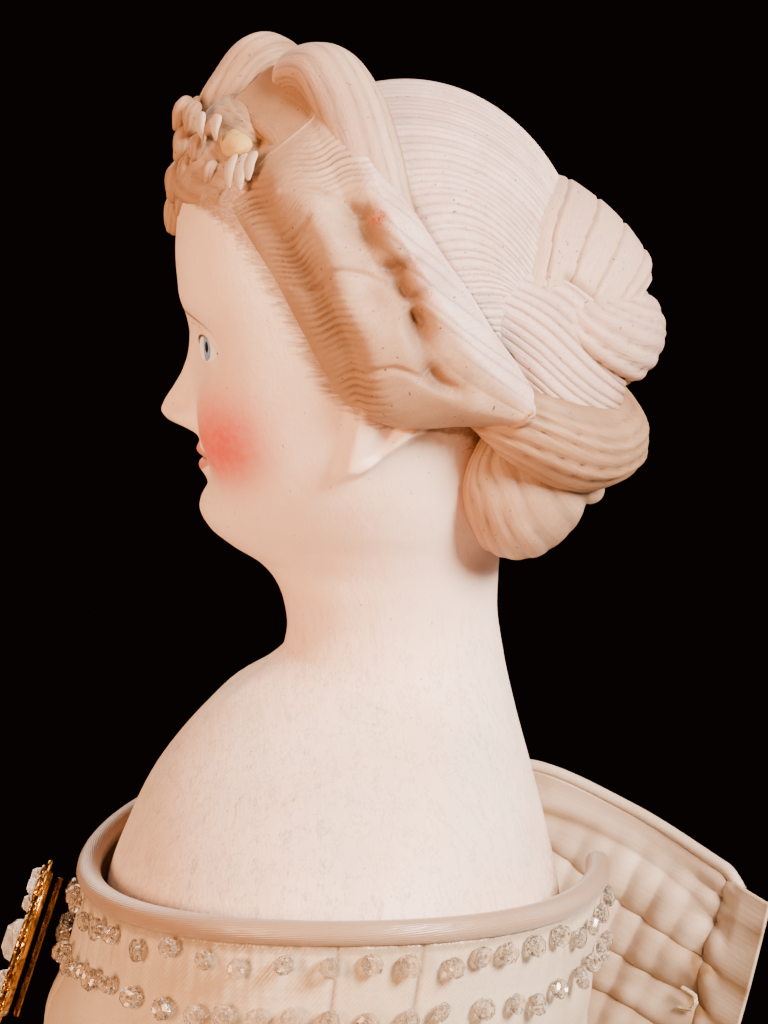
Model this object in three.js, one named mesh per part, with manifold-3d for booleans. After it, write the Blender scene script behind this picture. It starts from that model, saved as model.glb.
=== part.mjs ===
// A dressed shoulder-head doll of unglazed white porcelain, about 530 mm tall, standing.
// Units are millimetres. +Z is up, the doll faces -Y and its left hand is towards +X.
// The origin is on the floor, in the middle of the skirt's hem.
import * as THREE from "three";
import { mergeVertices } from "three/addons/utils/BufferGeometryUtils.js";
import Module from "manifold-3d";

const wasm = await Module();
wasm.setup();

// Driving dimensions
const GAP = 0.4; // between pieces that touch on the real doll
const SOCKET_GAP = 0.9; // round a ball that turns
const BISQUE_WALL = 3;
const SILK_WALL = 1.2;
const PLATE_BOTTOM = 401;
const NECKLINE = 409.5; // height of the bodice's top edge at front and back
const NECKLINE_LIFT = 3.7; // how much higher it runs over the shoulders
const SHOULDER_HALF = 48.6; // half width of the bodice at the neckline
const WAIST = 330;
const SHOULDER = new THREE.Vector3(57, -3, 384);
const ARMHOLE_R = 9.6;
const STUB_R = 8.8; // the arm's inner end, which passes through the armhole
const STUB_INNER_X = 42.6;
const SLEEVE_FACE = 50.4; // the sleeve's flat side next to the bodice
const ARM_SPLAY = THREE.MathUtils.degToRad(15);
const UPPER_ARM = 75;
const FOREARM = 47;
const ELBOW_BALL = 8;
const HIP = new THREE.Vector3(15, 0, 262);
const HIP_BALL = 12;
const KNEE_Z = 140;
const KNEE_BALL = 10;
const SOLE_Z = 2; // the boots hang just clear of the floor inside the skirt
const HEM_X = 142;
const HEM_Y = 132;
const BEAD_R = 1.6;
const BEAD_PITCH = 5.6;
const THREAD_R = 0.35;
const PIPING_R = 1.75;
const PIPING_RISE = PIPING_R + 0.3; // from the bodice's edge to the middle of the piping
const PANEL_OPEN = THREE.MathUtils.degToRad(50);
const SEAM_TURN = 153; // degrees from the doll's left, by way of its back, to the right back seam

const COLOURS = {
  bisque: [0xefe3d8, 0.55, 0],
  muslin: [0xe3d8c4, 0.95, 0],
  silk: [0xdcc6a6, 0.45, 0],
  cotton: [0xf0ebe0, 0.9, 0],
  crystal: [0xe6dcd2, 0.1, 0],
  gold: [0xb9863a, 0.35, 1],
  stone: [0xf4f4f6, 0.05, 0],
  thread: [0xc9b795, 0.9, 0],
  steel: [0x8c8679, 0.4, 1],
};

// ---------- small helpers ----------

const v3 = (x, y, z) => new THREE.Vector3(x, y, z);

function material(name) {
  const [color, roughness, metalness] = COLOURS[name];
  return new THREE.MeshStandardMaterial({ color, roughness, metalness });
}

function solidOf(geometry) {
  const plain = geometry.clone();
  plain.deleteAttribute("normal");
  plain.deleteAttribute("uv");
  const merged = mergeVertices(plain, 1e-3);
  return new wasm.Manifold(
    new wasm.Mesh({
      numProp: 3,
      vertProperties: new Float32Array(merged.attributes.position.array),
      triVerts: new Uint32Array(merged.index.array),
    }),
  );
}

function geometryOf(solid) {
  const mesh = solid.getMesh();
  const geometry = new THREE.BufferGeometry();
  geometry.setAttribute("position", new THREE.BufferAttribute(mesh.vertProperties, mesh.numProp));
  geometry.setIndex(new THREE.BufferAttribute(mesh.triVerts, 1));
  geometry.computeVertexNormals();
  return geometry;
}

function joined(...geometries) {
  return geometryOf(geometries.map(solidOf).reduce((all, next) => all.add(next)));
}

function cut(geometry, ...tools) {
  return geometryOf(tools.map(solidOf).reduce((left, tool) => left.subtract(tool), solidOf(geometry)));
}

function common(geometry, tool) {
  return geometryOf(solidOf(geometry).intersect(solidOf(tool)));
}

// Moves every vertex with a function that changes the point it is given.
function warp(geometry, change) {
  const position = geometry.attributes.position;
  const p = new THREE.Vector3();
  for (let i = 0; i < position.count; i++) {
    change(p.fromBufferAttribute(position, i));
    position.setXYZ(i, p.x, p.y, p.z);
  }
  return geometry;
}

// More rows between the given ones, on a smooth curve. A row is [z, half width, front y, back y].
function smoothRows(rows, count) {
  const ends = new THREE.CatmullRomCurve3(rows.map((r) => v3(r[1], r[2], r[3])), false, "centripetal");
  const heights = new THREE.CatmullRomCurve3(rows.map((r) => v3(0, 0, r[0])), false, "centripetal");
  return Array.from({ length: count }, (_, i) => {
    const at = i / (count - 1);
    const size = ends.getPoint(at);
    return [heights.getPoint(at).z, size.x, size.y, size.z];
  });
}

// A solid upright column with an oval section at each row, from the bottom row up.
function column(rows, around = 16) {
  const last = rows.length - 1;
  const geometry = new THREE.CylinderGeometry(1, 1, last, around, last).rotateX(Math.PI / 2);
  return warp(geometry, (p) => {
    const [z, half, front, back] = rows[Math.round(p.z + last / 2)];
    p.set(half * p.x, (front + back) / 2 + ((back - front) / 2) * p.y, z);
  });
}

// The same rows drawn in by a wall, and run past both ends, to cut a column open.
function drawnIn(rows, wall, past = 1) {
  const inner = rows.map(([z, half, front, back]) => [z, half - wall, front + wall, back - wall]);
  const [low, high] = [inner[0], inner[inner.length - 1]];
  return [[low[0] - past, ...low.slice(1)], ...inner.slice(1, -1), [high[0] + past, ...high.slice(1)]];
}

function openShell(rows, wall, around = 20) {
  return cut(column(rows, around), column(drawnIn(rows, wall), around));
}

function ellipsoid(centre, rx, ry, rz, around = 10, high = 6) {
  return new THREE.SphereGeometry(1, around, high)
    .rotateX(Math.PI / 2)
    .scale(rx, ry, rz)
    .translate(centre.x, centre.y, centre.z);
}

function ball(centre, radius) {
  return ellipsoid(centre, radius, radius, radius);
}

function socket(centre, ballRadius) {
  const radius = ballRadius + SOCKET_GAP;
  return ellipsoid(centre, radius, radius, radius, 12, 8);
}

// A closed solid turned about +Z from [radius, z] points that start and end on the axis, or close up.
function turned(points, around = 12) {
  const profile = points.map(([r, z]) => new THREE.Vector2(r, z));
  if (THREE.ShapeUtils.area(profile) < 0) profile.reverse();
  return new THREE.LatheGeometry(profile, around).rotateX(Math.PI / 2);
}

// A flat band round a limb: its inner and outer radius, and its lower and upper edge.
function band(inner, outer, low, high, around = 12) {
  return turned([[inner, low], [outer, low], [outer, high], [inner, high], [inner, low]], around);
}

function roundShape(radius, sides) {
  const corners = Array.from({ length: sides }, (_, i) => {
    const turn = (2 * Math.PI * i) / sides;
    return new THREE.Vector2(radius * Math.cos(turn), radius * Math.sin(turn));
  });
  return new THREE.Shape(corners);
}

function tube(points, radius, steps = 24, sides = 6) {
  const extrudePath = new THREE.CatmullRomCurve3(points, false, "centripetal");
  return new THREE.ExtrudeGeometry(roundShape(radius, sides), { steps, bevelEnabled: false, extrudePath });
}

function rod(from, to, radius, sides = 6) {
  const geometry = new THREE.CylinderGeometry(radius, radius, from.distanceTo(to), sides);
  const turn = new THREE.Quaternion().setFromUnitVectors(v3(0, 1, 0), to.clone().sub(from).normalize());
  const middle = from.clone().add(to).multiplyScalar(0.5);
  return geometry.applyQuaternion(turn).translate(middle.x, middle.y, middle.z);
}

// A slab that covers an outline drawn in X and Z, between two Y values.
function slabAlongY(corners, fromY, toY) {
  const shape = new THREE.Shape(corners.map(([x, z]) => new THREE.Vector2(x, z)));
  return new THREE.ExtrudeGeometry(shape, { depth: toY - fromY, bevelEnabled: false })
    .rotateX(Math.PI / 2)
    .translate(0, toY, 0);
}

const doll = new THREE.Group();

function add(name, geometry, finish, parent = doll) {
  const mesh = new THREE.Mesh(geometry, material(finish));
  mesh.name = name;
  parent.add(mesh);
  return mesh;
}

// ---------- shoulder head: one hollow casting of head, moulded hair, neck and shoulder plate ----------

const PLATE_ROWS = [
  [PLATE_BOTTOM, 46, -41, 26],
  [409, 46.4, -40.3, 25.4],
  [414, 45, -38.7, 24.2],
  [420, 41, -36, 22.6],
  [427, 34, -31.8, 20.8],
  [434, 25, -26.5, 19],
  [439, 19, -21, 17.8],
  [443, 16, -15.5, 17],
  [450, 15, -14.4, 16.3],
  [458, 15.5, -14, 16.5],
  [468, 16.5, -12, 17],
];

const FACE_ROWS = [
  [457, 6, -20, -6],
  [460, 12, -23.5, 2],
  [466, 19, -25.8, 10],
  [474, 23, -27, 16],
  [484, 25, -27.6, 20],
  [494, 26, -28.8, 22],
  [504, 26, -28.5, 21],
  [514, 22, -24, 18],
  [521, 15, -16, 12],
];

// The space inside the head, left by the plaster mould it was cast in.
const HEAD_HOLLOW_ROWS = [
  [456, 9, -12, 10],
  [468, 15, -20, 12],
  [484, 21.5, -23.5, 18],
  [498, 22, -24, 20],
  [510, 15, -17, 15],
];

function hairVolumes() {
  const cap = ellipsoid(v3(0, 5, 497.5), 28.5, 26, 26.5, 16, 10);
  const buns = [
    ellipsoid(v3(0, 29, 494), 17, 11, 9.5),
    ellipsoid(v3(0, 27, 478), 18, 10.5, 9),
    ellipsoid(v3(0, 20, 465), 15, 9.5, 8),
  ];
  const arch = [
    [27, 0, 480],
    [29, -9, 492],
    [26, -15, 505],
    [16, -16, 517.5],
    [0, -18, 522.5],
  ];
  const left = arch.map(([x, y, z]) => v3(x, y, z));
  const right = arch.slice(0, -1).reverse().map(([x, y, z]) => v3(-x, y, z));
  const roll = tube([...left, ...right], 7, 12, 7);
  const flowers = [-12, 0, 12].map((x) =>
    ellipsoid(v3(x, -27 + (x * x) / 60, 512 - (x * x) / 60), 6.5, 3.6, 4.5, 6, 4),
  );
  return [cap, ...buns, roll, ...flowers];
}

function shoulderHead() {
  const plateRows = smoothRows(PLATE_ROWS, 11);
  const faceRows = smoothRows(FACE_ROWS, 7);
  const nose = new THREE.ConeGeometry(4, 11, 5).rotateX(Math.PI / 2 - 1.15).translate(0, -28.2, 479.5);
  const ears = [-1, 1].map((side) => ellipsoid(v3(side * 25, 0, 476), 2.6, 4.5, 6.5, 6, 4));
  const outside = joined(column(plateRows), column(faceRows), nose, ...ears, ...hairVolumes());
  const plateHollow = column(drawnIn(plateRows, BISQUE_WALL));
  const inside = joined(plateHollow, column(smoothRows(HEAD_HOLLOW_ROWS, 6)));
  return cut(outside, inside, ...sewHoles());
}

// Four holes near the plate's lower edge, run from front to back.
const SEW_HOLE_R = 1.7;
const SEW_HOLES = [
  ["front_left", 24, -1],
  ["front_right", -24, -1],
  ["back_left", 24, 1],
  ["back_right", -24, 1],
];
const SEW_HOLE_Z = 405;

function plateFaceY(x, side) {
  const [, half, front, back] = PLATE_ROWS[0];
  const middle = (front + back) / 2;
  return middle + ((side * (back - front)) / 2) * Math.sqrt(1 - (x / half) ** 2);
}

function sewHoles() {
  return SEW_HOLES.map(([, x, side]) => {
    const y = plateFaceY(x, side);
    return rod(v3(x, y - 6, SEW_HOLE_Z), v3(x, y + 6, SEW_HOLE_Z), SEW_HOLE_R);
  });
}

function addStitches() {
  for (const [place, x, side] of SEW_HOLES) {
    const y = plateFaceY(x, side);
    const inner = v3(x, y - side * 2.2, SEW_HOLE_Z);
    const outer = v3(x, y + side * 0.9, SEW_HOLE_Z);
    const knot = ellipsoid(outer, 1.2, 0.5, 1.2, 6, 4);
    add(`plate_stitch_${place}`, joined(rod(inner, outer, 0.8), knot), "thread");
  }
}

// ---------- stuffed cloth torso ----------

const TORSO_ROWS = [
  [257, 22, -12, 12],
  [264, 31, -19, 19],
  [280, 34, -23, 23],
  [300, 31, -22, 21],
  [318, 27, -20, 18],
  [332, 25.5, -19.5, 17.5],
  [350, 29, -24, 20],
  [372, 35, -32, 22],
  [390, 40.5, -35.5, 22],
  [402, 41.8, -36.4, 21.4],
  [413, 40, -34, 20],
  [420, 35.5, -30.5, 18],
  [427, 28, -25.5, 16],
  [433, 19, -19, 14],
];

function torso() {
  const sockets = [-1, 1].map((side) => socket(v3(side * HIP.x, HIP.y, HIP.z), HIP_BALL));
  return cut(column(smoothRows(TORSO_ROWS, 11)), ...sockets);
}

// ---------- bodice: front, left back and the unfastened right back ----------

const BODICE_ROWS = [
  [WAIST, 29, -27, 22],
  [340, 31, -32, 23],
  [352, 35, -40, 25],
  [366, 40, -47, 27.5],
  [380, 44, -51, 29],
  [392, 46.8, -48.8, 30.2],
  [402, 48.2, -45.2, 31],
  [NECKLINE, SHOULDER_HALF, -43.6, 31.5],
];

const BODICE_SIDES = 24;

// Raises the neckline over the shoulders.
function liftShoulders(p) {
  const share = THREE.MathUtils.clamp((p.z - 385) / (NECKLINE - 385), 0, 1.05);
  p.z += NECKLINE_LIFT * share * (p.x / SHOULDER_HALF) ** 2;
}

function bodiceShell() {
  const rows = smoothRows(BODICE_ROWS, 8);
  const shell = cut(
    warp(column(rows, BODICE_SIDES), liftShoulders),
    warp(column(drawnIn(rows, SILK_WALL), BODICE_SIDES), liftShoulders),
  );
  const armholes = [-1, 1].map((side) => {
    const centre = v3(side * SHOULDER_HALF, SHOULDER.y, SHOULDER.z);
    const reach = v3(side * 12, 0, 0);
    return rod(centre.clone().sub(reach), centre.clone().add(reach), ARMHOLE_R, 10);
  });
  return cut(shell, ...armholes);
}

// Where the bodice's outer surface is at one row's height, at a turn in degrees.
function rowPoint([z, half, front, back], turn, out = 0) {
  const at = THREE.MathUtils.degToRad(turn);
  return v3((half + out) * Math.cos(at), (front + back) / 2 + ((back - front) / 2 + out) * Math.sin(at), z);
}

// The bodice's oval section at any height.
function rowAt(z) {
  const next = Math.max(1, BODICE_ROWS.findIndex((row) => row[0] >= z));
  const [a, b] = [BODICE_ROWS[next - 1], BODICE_ROWS[next]];
  return a.map((value, i) => THREE.MathUtils.mapLinear(z, a[0], b[0], value, b[i]));
}

const SEAM_LOW = rowPoint(rowAt(WAIST), SEAM_TURN);
const SEAM_HIGH = rowPoint(rowAt(NECKLINE), SEAM_TURN);

// One half of the back as seen from behind, from the seam to the centre back.
function backSlab(side, seamGap, centreGap, low) {
  const high = NECKLINE + 12;
  const seamX = (z) => {
    const x = THREE.MathUtils.mapLinear(z, WAIST, NECKLINE, -SEAM_LOW.x, -SEAM_HIGH.x);
    return side * (x - seamGap);
  };
  const corners = [
    [side * centreGap, low],
    [seamX(low), low],
    [seamX(high), high],
    [side * centreGap, high],
  ];
  return slabAlongY(corners, 2, 42);
}

// A line that follows the neckline, pushed out from the bodice and down along it.
function neckCurve(fromTurn, toTurn, out, down) {
  const row = rowAt(Math.min(NECKLINE, NECKLINE - down));
  const count = Math.ceil(Math.abs(toTurn - fromTurn) / 8) + 1;
  return Array.from({ length: count }, (_, i) => {
    const p = rowPoint(row, fromTurn + ((toTurn - fromTurn) * i) / (count - 1), out);
    p.z = NECKLINE;
    liftShoulders(p);
    p.z -= down;
    return p;
  });
}

// Faceted glass beads on their sewing thread: a four-sided tube that swells at each bead.
function beadRow(points) {
  const curve = new THREE.CatmullRomCurve3(points, false, "centripetal");
  const steps = 2 * Math.round(curve.getLength() / BEAD_PITCH);
  const geometry = new THREE.CylinderGeometry(1, 1, steps, 4, steps);
  return warp(geometry, (p) => {
    const step = Math.round(steps / 2 - p.y);
    const radius = step % 2 ? BEAD_R : THREAD_R;
    const along = curve.getTangentAt(step / steps);
    const outward = v3(-along.y, along.x, 0).normalize();
    const upward = along.clone().cross(outward);
    const centre = curve.getPointAt(step / steps);
    p.copy(centre.addScaledVector(outward, radius * p.x).addScaledVector(upward, radius * p.z));
  });
}

const BEAD_ROWS = [
  ["upper", 1.6, 0.6],
  ["lower", 8.4, 0.8],
];
const CENTRE_BACK = 90;

function addBodice() {
  const shell = bodiceShell();
  const backs = [-1, 1].map((side) => backSlab(side, -GAP / 2, -1, WAIST - 5));
  const end = SEAM_TURN - 360;
  add("bodice_front", cut(shell, ...backs), "silk");
  add("bodice_back_left", common(shell, backSlab(1, GAP, 0.9, WAIST - 5)), "silk");
  add("neckline_piping", tube(neckCurve(CENTRE_BACK - 1, end, -0.6, -PIPING_RISE), PIPING_R, 28), "silk");
  for (const [row, down, out] of BEAD_ROWS) {
    const curve = neckCurve(CENTRE_BACK - 3, end + 2, BEAD_R + out, down);
    add(`bead_row_${row}`, beadRow(curve), "crystal");
  }
}

const panel = new THREE.Group(); // everything on the open right back panel
doll.add(panel);

function addOpenPanel() {
  const shell = bodiceShell();
  const low = WAIST + 8;
  add("bodice_back_right", common(shell, backSlab(-1, GAP, 0.9, low)), "silk", panel);
  const piping = tube(neckCurve(CENTRE_BACK + 1, SEAM_TURN - 3, -0.6, -PIPING_RISE), PIPING_R, 8);
  add("panel_piping", piping, "silk", panel);
  for (const [row, down, out] of BEAD_ROWS) {
    const curve = neckCurve(CENTRE_BACK + 3, SEAM_TURN - 6, BEAD_R + out, down);
    add(`panel_bead_row_${row}`, beadRow(curve), "crystal", panel);
  }
  const axis = SEAM_HIGH.clone().sub(SEAM_LOW).normalize();
  panel.quaternion.setFromAxisAngle(axis, PANEL_OPEN);
  panel.position.copy(SEAM_LOW).sub(SEAM_LOW.clone().applyQuaternion(panel.quaternion));
}

// Hooks on the left back edge, and the thread eyes they go in on the right one.
const HOOK_HEIGHTS = [345, 366, 387];
const WIRE_R = 0.4;

function addHooks() {
  HOOK_HEIGHTS.forEach((z, i) => {
    const backY = rowAt(z)[3];
    const y = backY - SILK_WALL - WIRE_R - 2 * GAP;
    const wire = (...bends) => bends.map(([x, rise]) => v3(x, y, z + rise));
    const hook = wire([4.5, 1], [0.5, 1], [-0.6, 0], [0.5, -1], [2.5, -1]);
    add(`hook_${i + 1}`, tube(hook, WIRE_R, 8, 5), "steel");
    const eye = wire([-5, 1.6], [-2.2, 0.9], [-2.2, -0.9], [-5, -1.6]);
    add(`eye_${i + 1}`, tube(eye, WIRE_R, 6, 5), "thread", panel);
  });
}

// ---------- brooch on the centre front ----------

const BROOCH = { centre: v3(0, -52.4, 399), lean: -0.32, halfWidth: 8.5, halfHeight: 12, stones: 8 };

// A brilliant-cut stone lying on its back: the flat side faces +Y.
function cutStone(radius, height) {
  const facets = [[0, 0], [radius * 0.85, 0], [radius, height * 0.3], [radius * 0.6, height], [0, height]];
  return turned(facets, 6).rotateX(Math.PI / 2);
}

function addBrooch() {
  const { centre, lean, halfWidth, halfHeight, stones } = BROOCH;
  const brooch = new THREE.Group();
  brooch.position.copy(centre);
  brooch.rotation.x = lean;
  doll.add(brooch);
  const rim = new THREE.TorusGeometry(1, 0.16, 5, 16).rotateX(Math.PI / 2).scale(halfWidth, 7, halfHeight);
  const bars = [1, 3, 5, 7].map((eighth) => {
    const turn = (Math.PI * eighth) / 8;
    const end = v3(halfWidth * Math.cos(turn), 0, halfHeight * Math.sin(turn));
    return rod(end.clone().negate(), end, 0.6, 4);
  });
  const seat = new THREE.CylinderGeometry(4, 4, 1.2, 10);
  add("brooch_frame", joined(rim, ...bars, seat), "gold", brooch);
  add("brooch_centre_stone", cutStone(3.4, 2.4).translate(0, -0.6 - GAP, 0), "stone", brooch);
  for (let i = 0; i < stones; i++) {
    const turn = (2 * Math.PI * i) / stones;
    const stone = cutStone(1.5, 1.4);
    stone.translate(halfWidth * Math.cos(turn), -1.12 - GAP, halfHeight * Math.sin(turn));
    add(`brooch_stone_${i + 1}`, stone, "stone", brooch);
  }
  const pinY = 1.9;
  const pin = rod(v3(0, pinY, 1 - halfHeight), v3(0, pinY, halfHeight - 1), 0.4, 6);
  add("brooch_pin", pin, "gold", brooch);
}

// ---------- skirts ----------

const SKIRT_ROWS = [
  [0, HEM_X, -HEM_Y, HEM_Y],
  [60, 133, -122, 122],
  [120, 120, -108, 108],
  [180, 103, -91, 91],
  [230, 84, -74, 74],
  [270, 66, -58, 58],
  [297, 50, -44, 44],
  [312, 38, -34, 33],
  [321, 31, -28.5, 25],
];
const UNDER_SKIRT = 5; // how far the petticoat lies inside the skirt
const PETTICOAT_ROWS = [
  [6, HEM_X - 6, 6 - HEM_Y, HEM_Y - 6],
  ...SKIRT_ROWS.slice(1, -2).map(([z, half, front, back]) => [
    z,
    half - UNDER_SKIRT,
    front + UNDER_SKIRT,
    back - UNDER_SKIRT,
  ]),
  [309, 34.5, -30.5, 29.5],
  [315, 31, -27, 26],
];
const BELT_ROWS = [
  [321.5, 30.6, -28.6, 23.6],
  [329.5, 30.2, -28.2, 23.2],
];
const HEM_SIDES = 24;
const RUFFLE_LOW = 2;
const RUFFLE_HIGH = 22;
const RUFFLE_OUT = 2.6; // from the skirt's face to the ruffle's
const HEM_SLOPE = (HEM_X - SKIRT_ROWS[1][1]) / SKIRT_ROWS[1][0];

function addSkirts() {
  add("skirt", openShell(smoothRows(SKIRT_ROWS, 7), SILK_WALL, HEM_SIDES), "silk");
  add("petticoat", openShell(smoothRows(PETTICOAT_ROWS, 6), 1), "cotton");
  add("waistband", openShell(BELT_ROWS, 1.4), "silk");
  const ruffle = [RUFFLE_LOW, RUFFLE_HIGH].map((z) => {
    const out = RUFFLE_OUT - HEM_SLOPE * z;
    return [z, HEM_X + out, -HEM_Y - out, HEM_Y + out];
  });
  add("hem_ruffle", openShell(ruffle, 1.6, HEM_SIDES), "silk");
}

// ---------- arms ----------

// A group whose own -Z runs down the limb from its top joint.
function limb(parent, place, tilt) {
  const group = new THREE.Group();
  group.position.copy(place);
  group.rotation.y = tilt;
  parent.add(group);
  return group;
}

// Heights from the shoulder joint along the arm, the puff's greatest radius and its cuff's.
const SLEEVE = { top: 13, shoulder: 4, bulge: 14.2, bottom: -33, band: 10.6, wall: 1 };

function sleevePuff() {
  const { top, shoulder, bulge, bottom, band: cuff, wall } = SLEEVE;
  const outer = [
    [0, top],
    [8, top - 1.5],
    [13, shoulder + 2],
    [bulge, -8],
    [bulge - 0.6, -20],
    [cuff + 1.5, bottom + 4],
    [cuff, bottom],
  ];
  const inner = outer.map(([r, z]) => [Math.max(r - wall, 0), z > shoulder ? z - wall : z]).reverse();
  return turned([...outer, ...inner], 14);
}

const PALM = { drop: 6, rx: 2.6, ry: 5, rz: 8.5 };

// The fingers are moulded side by side, with the thumb apart.
function hand(wrist) {
  const palm = ellipsoid(v3(0, 0, -wrist - PALM.drop), PALM.rx, PALM.ry, PALM.rz, 8, 6);
  const fingers = [-1.5, -0.5, 0.5, 1.5].map((place) => {
    const root = v3(0, place * 2.2, -wrist - 9);
    const tip = v3(-0.8, place * 2.4, -wrist - 23 + Math.abs(place) * 1.6);
    return rod(root, tip, 1.35, 4);
  });
  const thumb = rod(v3(0, -3, -wrist - 3), v3(-1.5, -7.6, -wrist - 11), 1.4, 4);
  return joined(palm, ...fingers, thumb);
}

function addArm(side) {
  const name = side > 0 ? "left" : "right";
  const lean = side * ARM_SPLAY;
  const arm = limb(doll, v3(side * SHOULDER.x, SHOULDER.y, SHOULDER.z), -lean);

  const shaft = new THREE.CylinderGeometry(STUB_R - 0.4, 6.8, UPPER_ARM, 12).rotateX(Math.PI / 2);
  shaft.translate(0, 0, -UPPER_ARM / 2);
  const stub = rod(v3(side * (STUB_INNER_X - SHOULDER.x), 0, 0), v3(0, 0, 0), STUB_R, 12).rotateY(lean);
  const elbow = ball(v3(0, 0, -UPPER_ARM), ELBOW_BALL);
  add(`upper_arm_${name}`, joined(ball(v3(0, 0, 0), STUB_R), shaft, elbow, stub), "muslin", arm);

  const bodiceSide = new THREE.BoxGeometry(60, 80, 120)
    .translate(side * (SLEEVE_FACE - SHOULDER.x - 30), 0, 0)
    .rotateY(lean);
  add(`sleeve_${name}`, cut(sleevePuff(), bodiceSide), "silk", arm);
  const { band: cuff, bottom } = SLEEVE;
  add(`sleeve_band_${name}`, band(cuff - 2.2, cuff + 0.4, bottom - 5, bottom - GAP, 16), "silk", arm);

  const fore = limb(arm, v3(0, 0, -UPPER_ARM), 0);
  const profile = [
    [0, -1],
    [6.9, -2],
    [7.4, -14],
    [7.2, -24],
    [5.6, -36],
    [4.1, -FOREARM],
    [4.2, -FOREARM - 3],
    [0, -FOREARM - 3],
  ];
  const elbowSocket = socket(v3(0, 0, 0), ELBOW_BALL);
  add(`forearm_${name}`, cut(joined(turned(profile), hand(FOREARM)), elbowSocket), "bisque", fore);
  add(`arm_binding_${name}`, band(7.8, 8.6, -12, -9), "thread", fore);
}

// ---------- legs ----------

function boot() {
  const foot = ellipsoid(v3(0, -9, SOLE_Z + 6.5), 8, 21, 10);
  const ankle = ellipsoid(v3(0, 3, SOLE_Z + 14), 7.6, 9.6, 14);
  const heel = new THREE.CylinderGeometry(6.4, 5.6, 8, 10).rotateX(Math.PI / 2).translate(0, 6, SOLE_Z + 4);
  const sole = new THREE.CylinderGeometry(1, 1, 2.4, 14).rotateX(Math.PI / 2).scale(8, 11, 1);
  sole.translate(0, -16, SOLE_Z + 1.2);
  const floor = new THREE.BoxGeometry(60, 90, 40).translate(0, 0, SOLE_Z - 20);
  return cut(joined(foot, ankle, heel, sole), floor);
}

function addLeg(side) {
  const name = side > 0 ? "left" : "right";
  const leg = limb(doll, v3(side * HIP.x, 0, 0), 0);
  const thighTop = HIP.z - 10;
  const thigh = new THREE.CylinderGeometry(10.4, 9, thighTop - KNEE_Z, 12).rotateX(Math.PI / 2);
  thigh.translate(0, 0, (thighTop + KNEE_Z) / 2);
  const knee = v3(0, 0, KNEE_Z);
  const hip = ball(v3(0, 0, HIP.z), HIP_BALL);
  add(`thigh_${name}`, joined(hip, thigh, ball(knee, KNEE_BALL)), "muslin", leg);

  const drawers = turned(
    [
      [11.2, 240],
      [11, 200],
      [10.6, 155],
      [13.4, 155],
      [14, 200],
      [13.2, 240],
      [11.2, 240],
    ],
    16,
  );
  add(`drawers_${name}`, drawers, "cotton", leg);

  const calf = turned(
    [
      [0, 22],
      [7, 22],
      [7.6, 34],
      [10, 66],
      [11, 88],
      [10, 112],
      [9.2, 136],
      [0, 136],
    ],
    12,
  );
  add(`lower_leg_${name}`, cut(joined(calf, boot()), socket(knee, KNEE_BALL)), "bisque", leg);
  add(`leg_binding_${name}`, band(10.8, 11.6, 118.5, 122), "thread", leg);
}

add("shoulder_head", shoulderHead(), "bisque");
add("cloth_torso", torso(), "muslin");
addStitches();
addBodice();
addOpenPanel();
addHooks();
addBrooch();
addSkirts();
[1, -1].forEach((side) => {
  addArm(side);
  addLeg(side);
});

export default doll;
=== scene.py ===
import math
import bpy
import numpy as np
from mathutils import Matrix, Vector


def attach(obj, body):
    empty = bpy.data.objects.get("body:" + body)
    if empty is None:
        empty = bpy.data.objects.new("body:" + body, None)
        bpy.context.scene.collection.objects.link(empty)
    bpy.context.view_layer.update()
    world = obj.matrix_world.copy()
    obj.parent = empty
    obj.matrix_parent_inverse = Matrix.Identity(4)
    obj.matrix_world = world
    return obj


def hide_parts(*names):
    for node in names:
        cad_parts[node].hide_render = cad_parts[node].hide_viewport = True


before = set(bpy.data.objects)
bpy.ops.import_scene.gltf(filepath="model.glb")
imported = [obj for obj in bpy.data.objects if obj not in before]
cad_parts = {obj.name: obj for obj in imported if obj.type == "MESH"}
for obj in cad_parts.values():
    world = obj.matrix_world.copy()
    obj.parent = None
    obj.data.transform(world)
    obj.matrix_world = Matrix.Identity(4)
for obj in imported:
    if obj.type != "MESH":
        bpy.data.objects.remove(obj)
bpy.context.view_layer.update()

# A dressed bisque shoulder-head doll. Shapes are worked out in millimetres, in the frame's own axes:
# +Z is up, the doll faces -Y and its left hand is towards +X. Blender's objects are in metres.

MM = 0.001
TAU = 2 * math.pi
SIDES = (("left", 1), ("right", -1))

# ---------------------------------------------------------------- numbers and lines


def smoothstep(low, high, value):
    """0 up to low and 1 from high on, with a smooth rise between. low may be the greater."""
    share = np.clip((value - low) / (high - low), 0, 1)
    return share * share * (3 - 2 * share)


def bump(value, centre, width):
    """1 at the centre, falling away smoothly on both sides."""
    return np.exp(-(((value - centre) / width) ** 2))


def line(*points):
    """A smooth line through (place, value) points that never overshoots them, as a function of place."""
    x, y = np.array(points, float).T
    step = np.diff(x)
    slope = np.diff(y) / step
    lean = np.zeros(len(x))
    same_way = slope[:-1] * slope[1:] > 0
    a, b = 2 * step[1:] + step[:-1], step[1:] + 2 * step[:-1]
    safe = np.where(same_way, slope[:-1], 1), np.where(same_way, slope[1:], 1)
    lean[1:-1] = np.where(same_way, (a + b) / (a / safe[0] + b / safe[1]), 0)
    lean[0], lean[-1] = slope[0], slope[-1]

    def at(place):
        place = np.clip(place, x[0], x[-1])
        i = np.clip(np.searchsorted(x, place, side="right") - 1, 0, len(step) - 1)
        t = (place - x[i]) / step[i]
        rise = (1 + 2 * t) * (1 - t) ** 2 * y[i] + t * t * (3 - 2 * t) * y[i + 1]
        return rise + step[i] * (t * (1 - t) ** 2 * lean[i] - t * t * (1 - t) * lean[i + 1])

    return at


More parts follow.
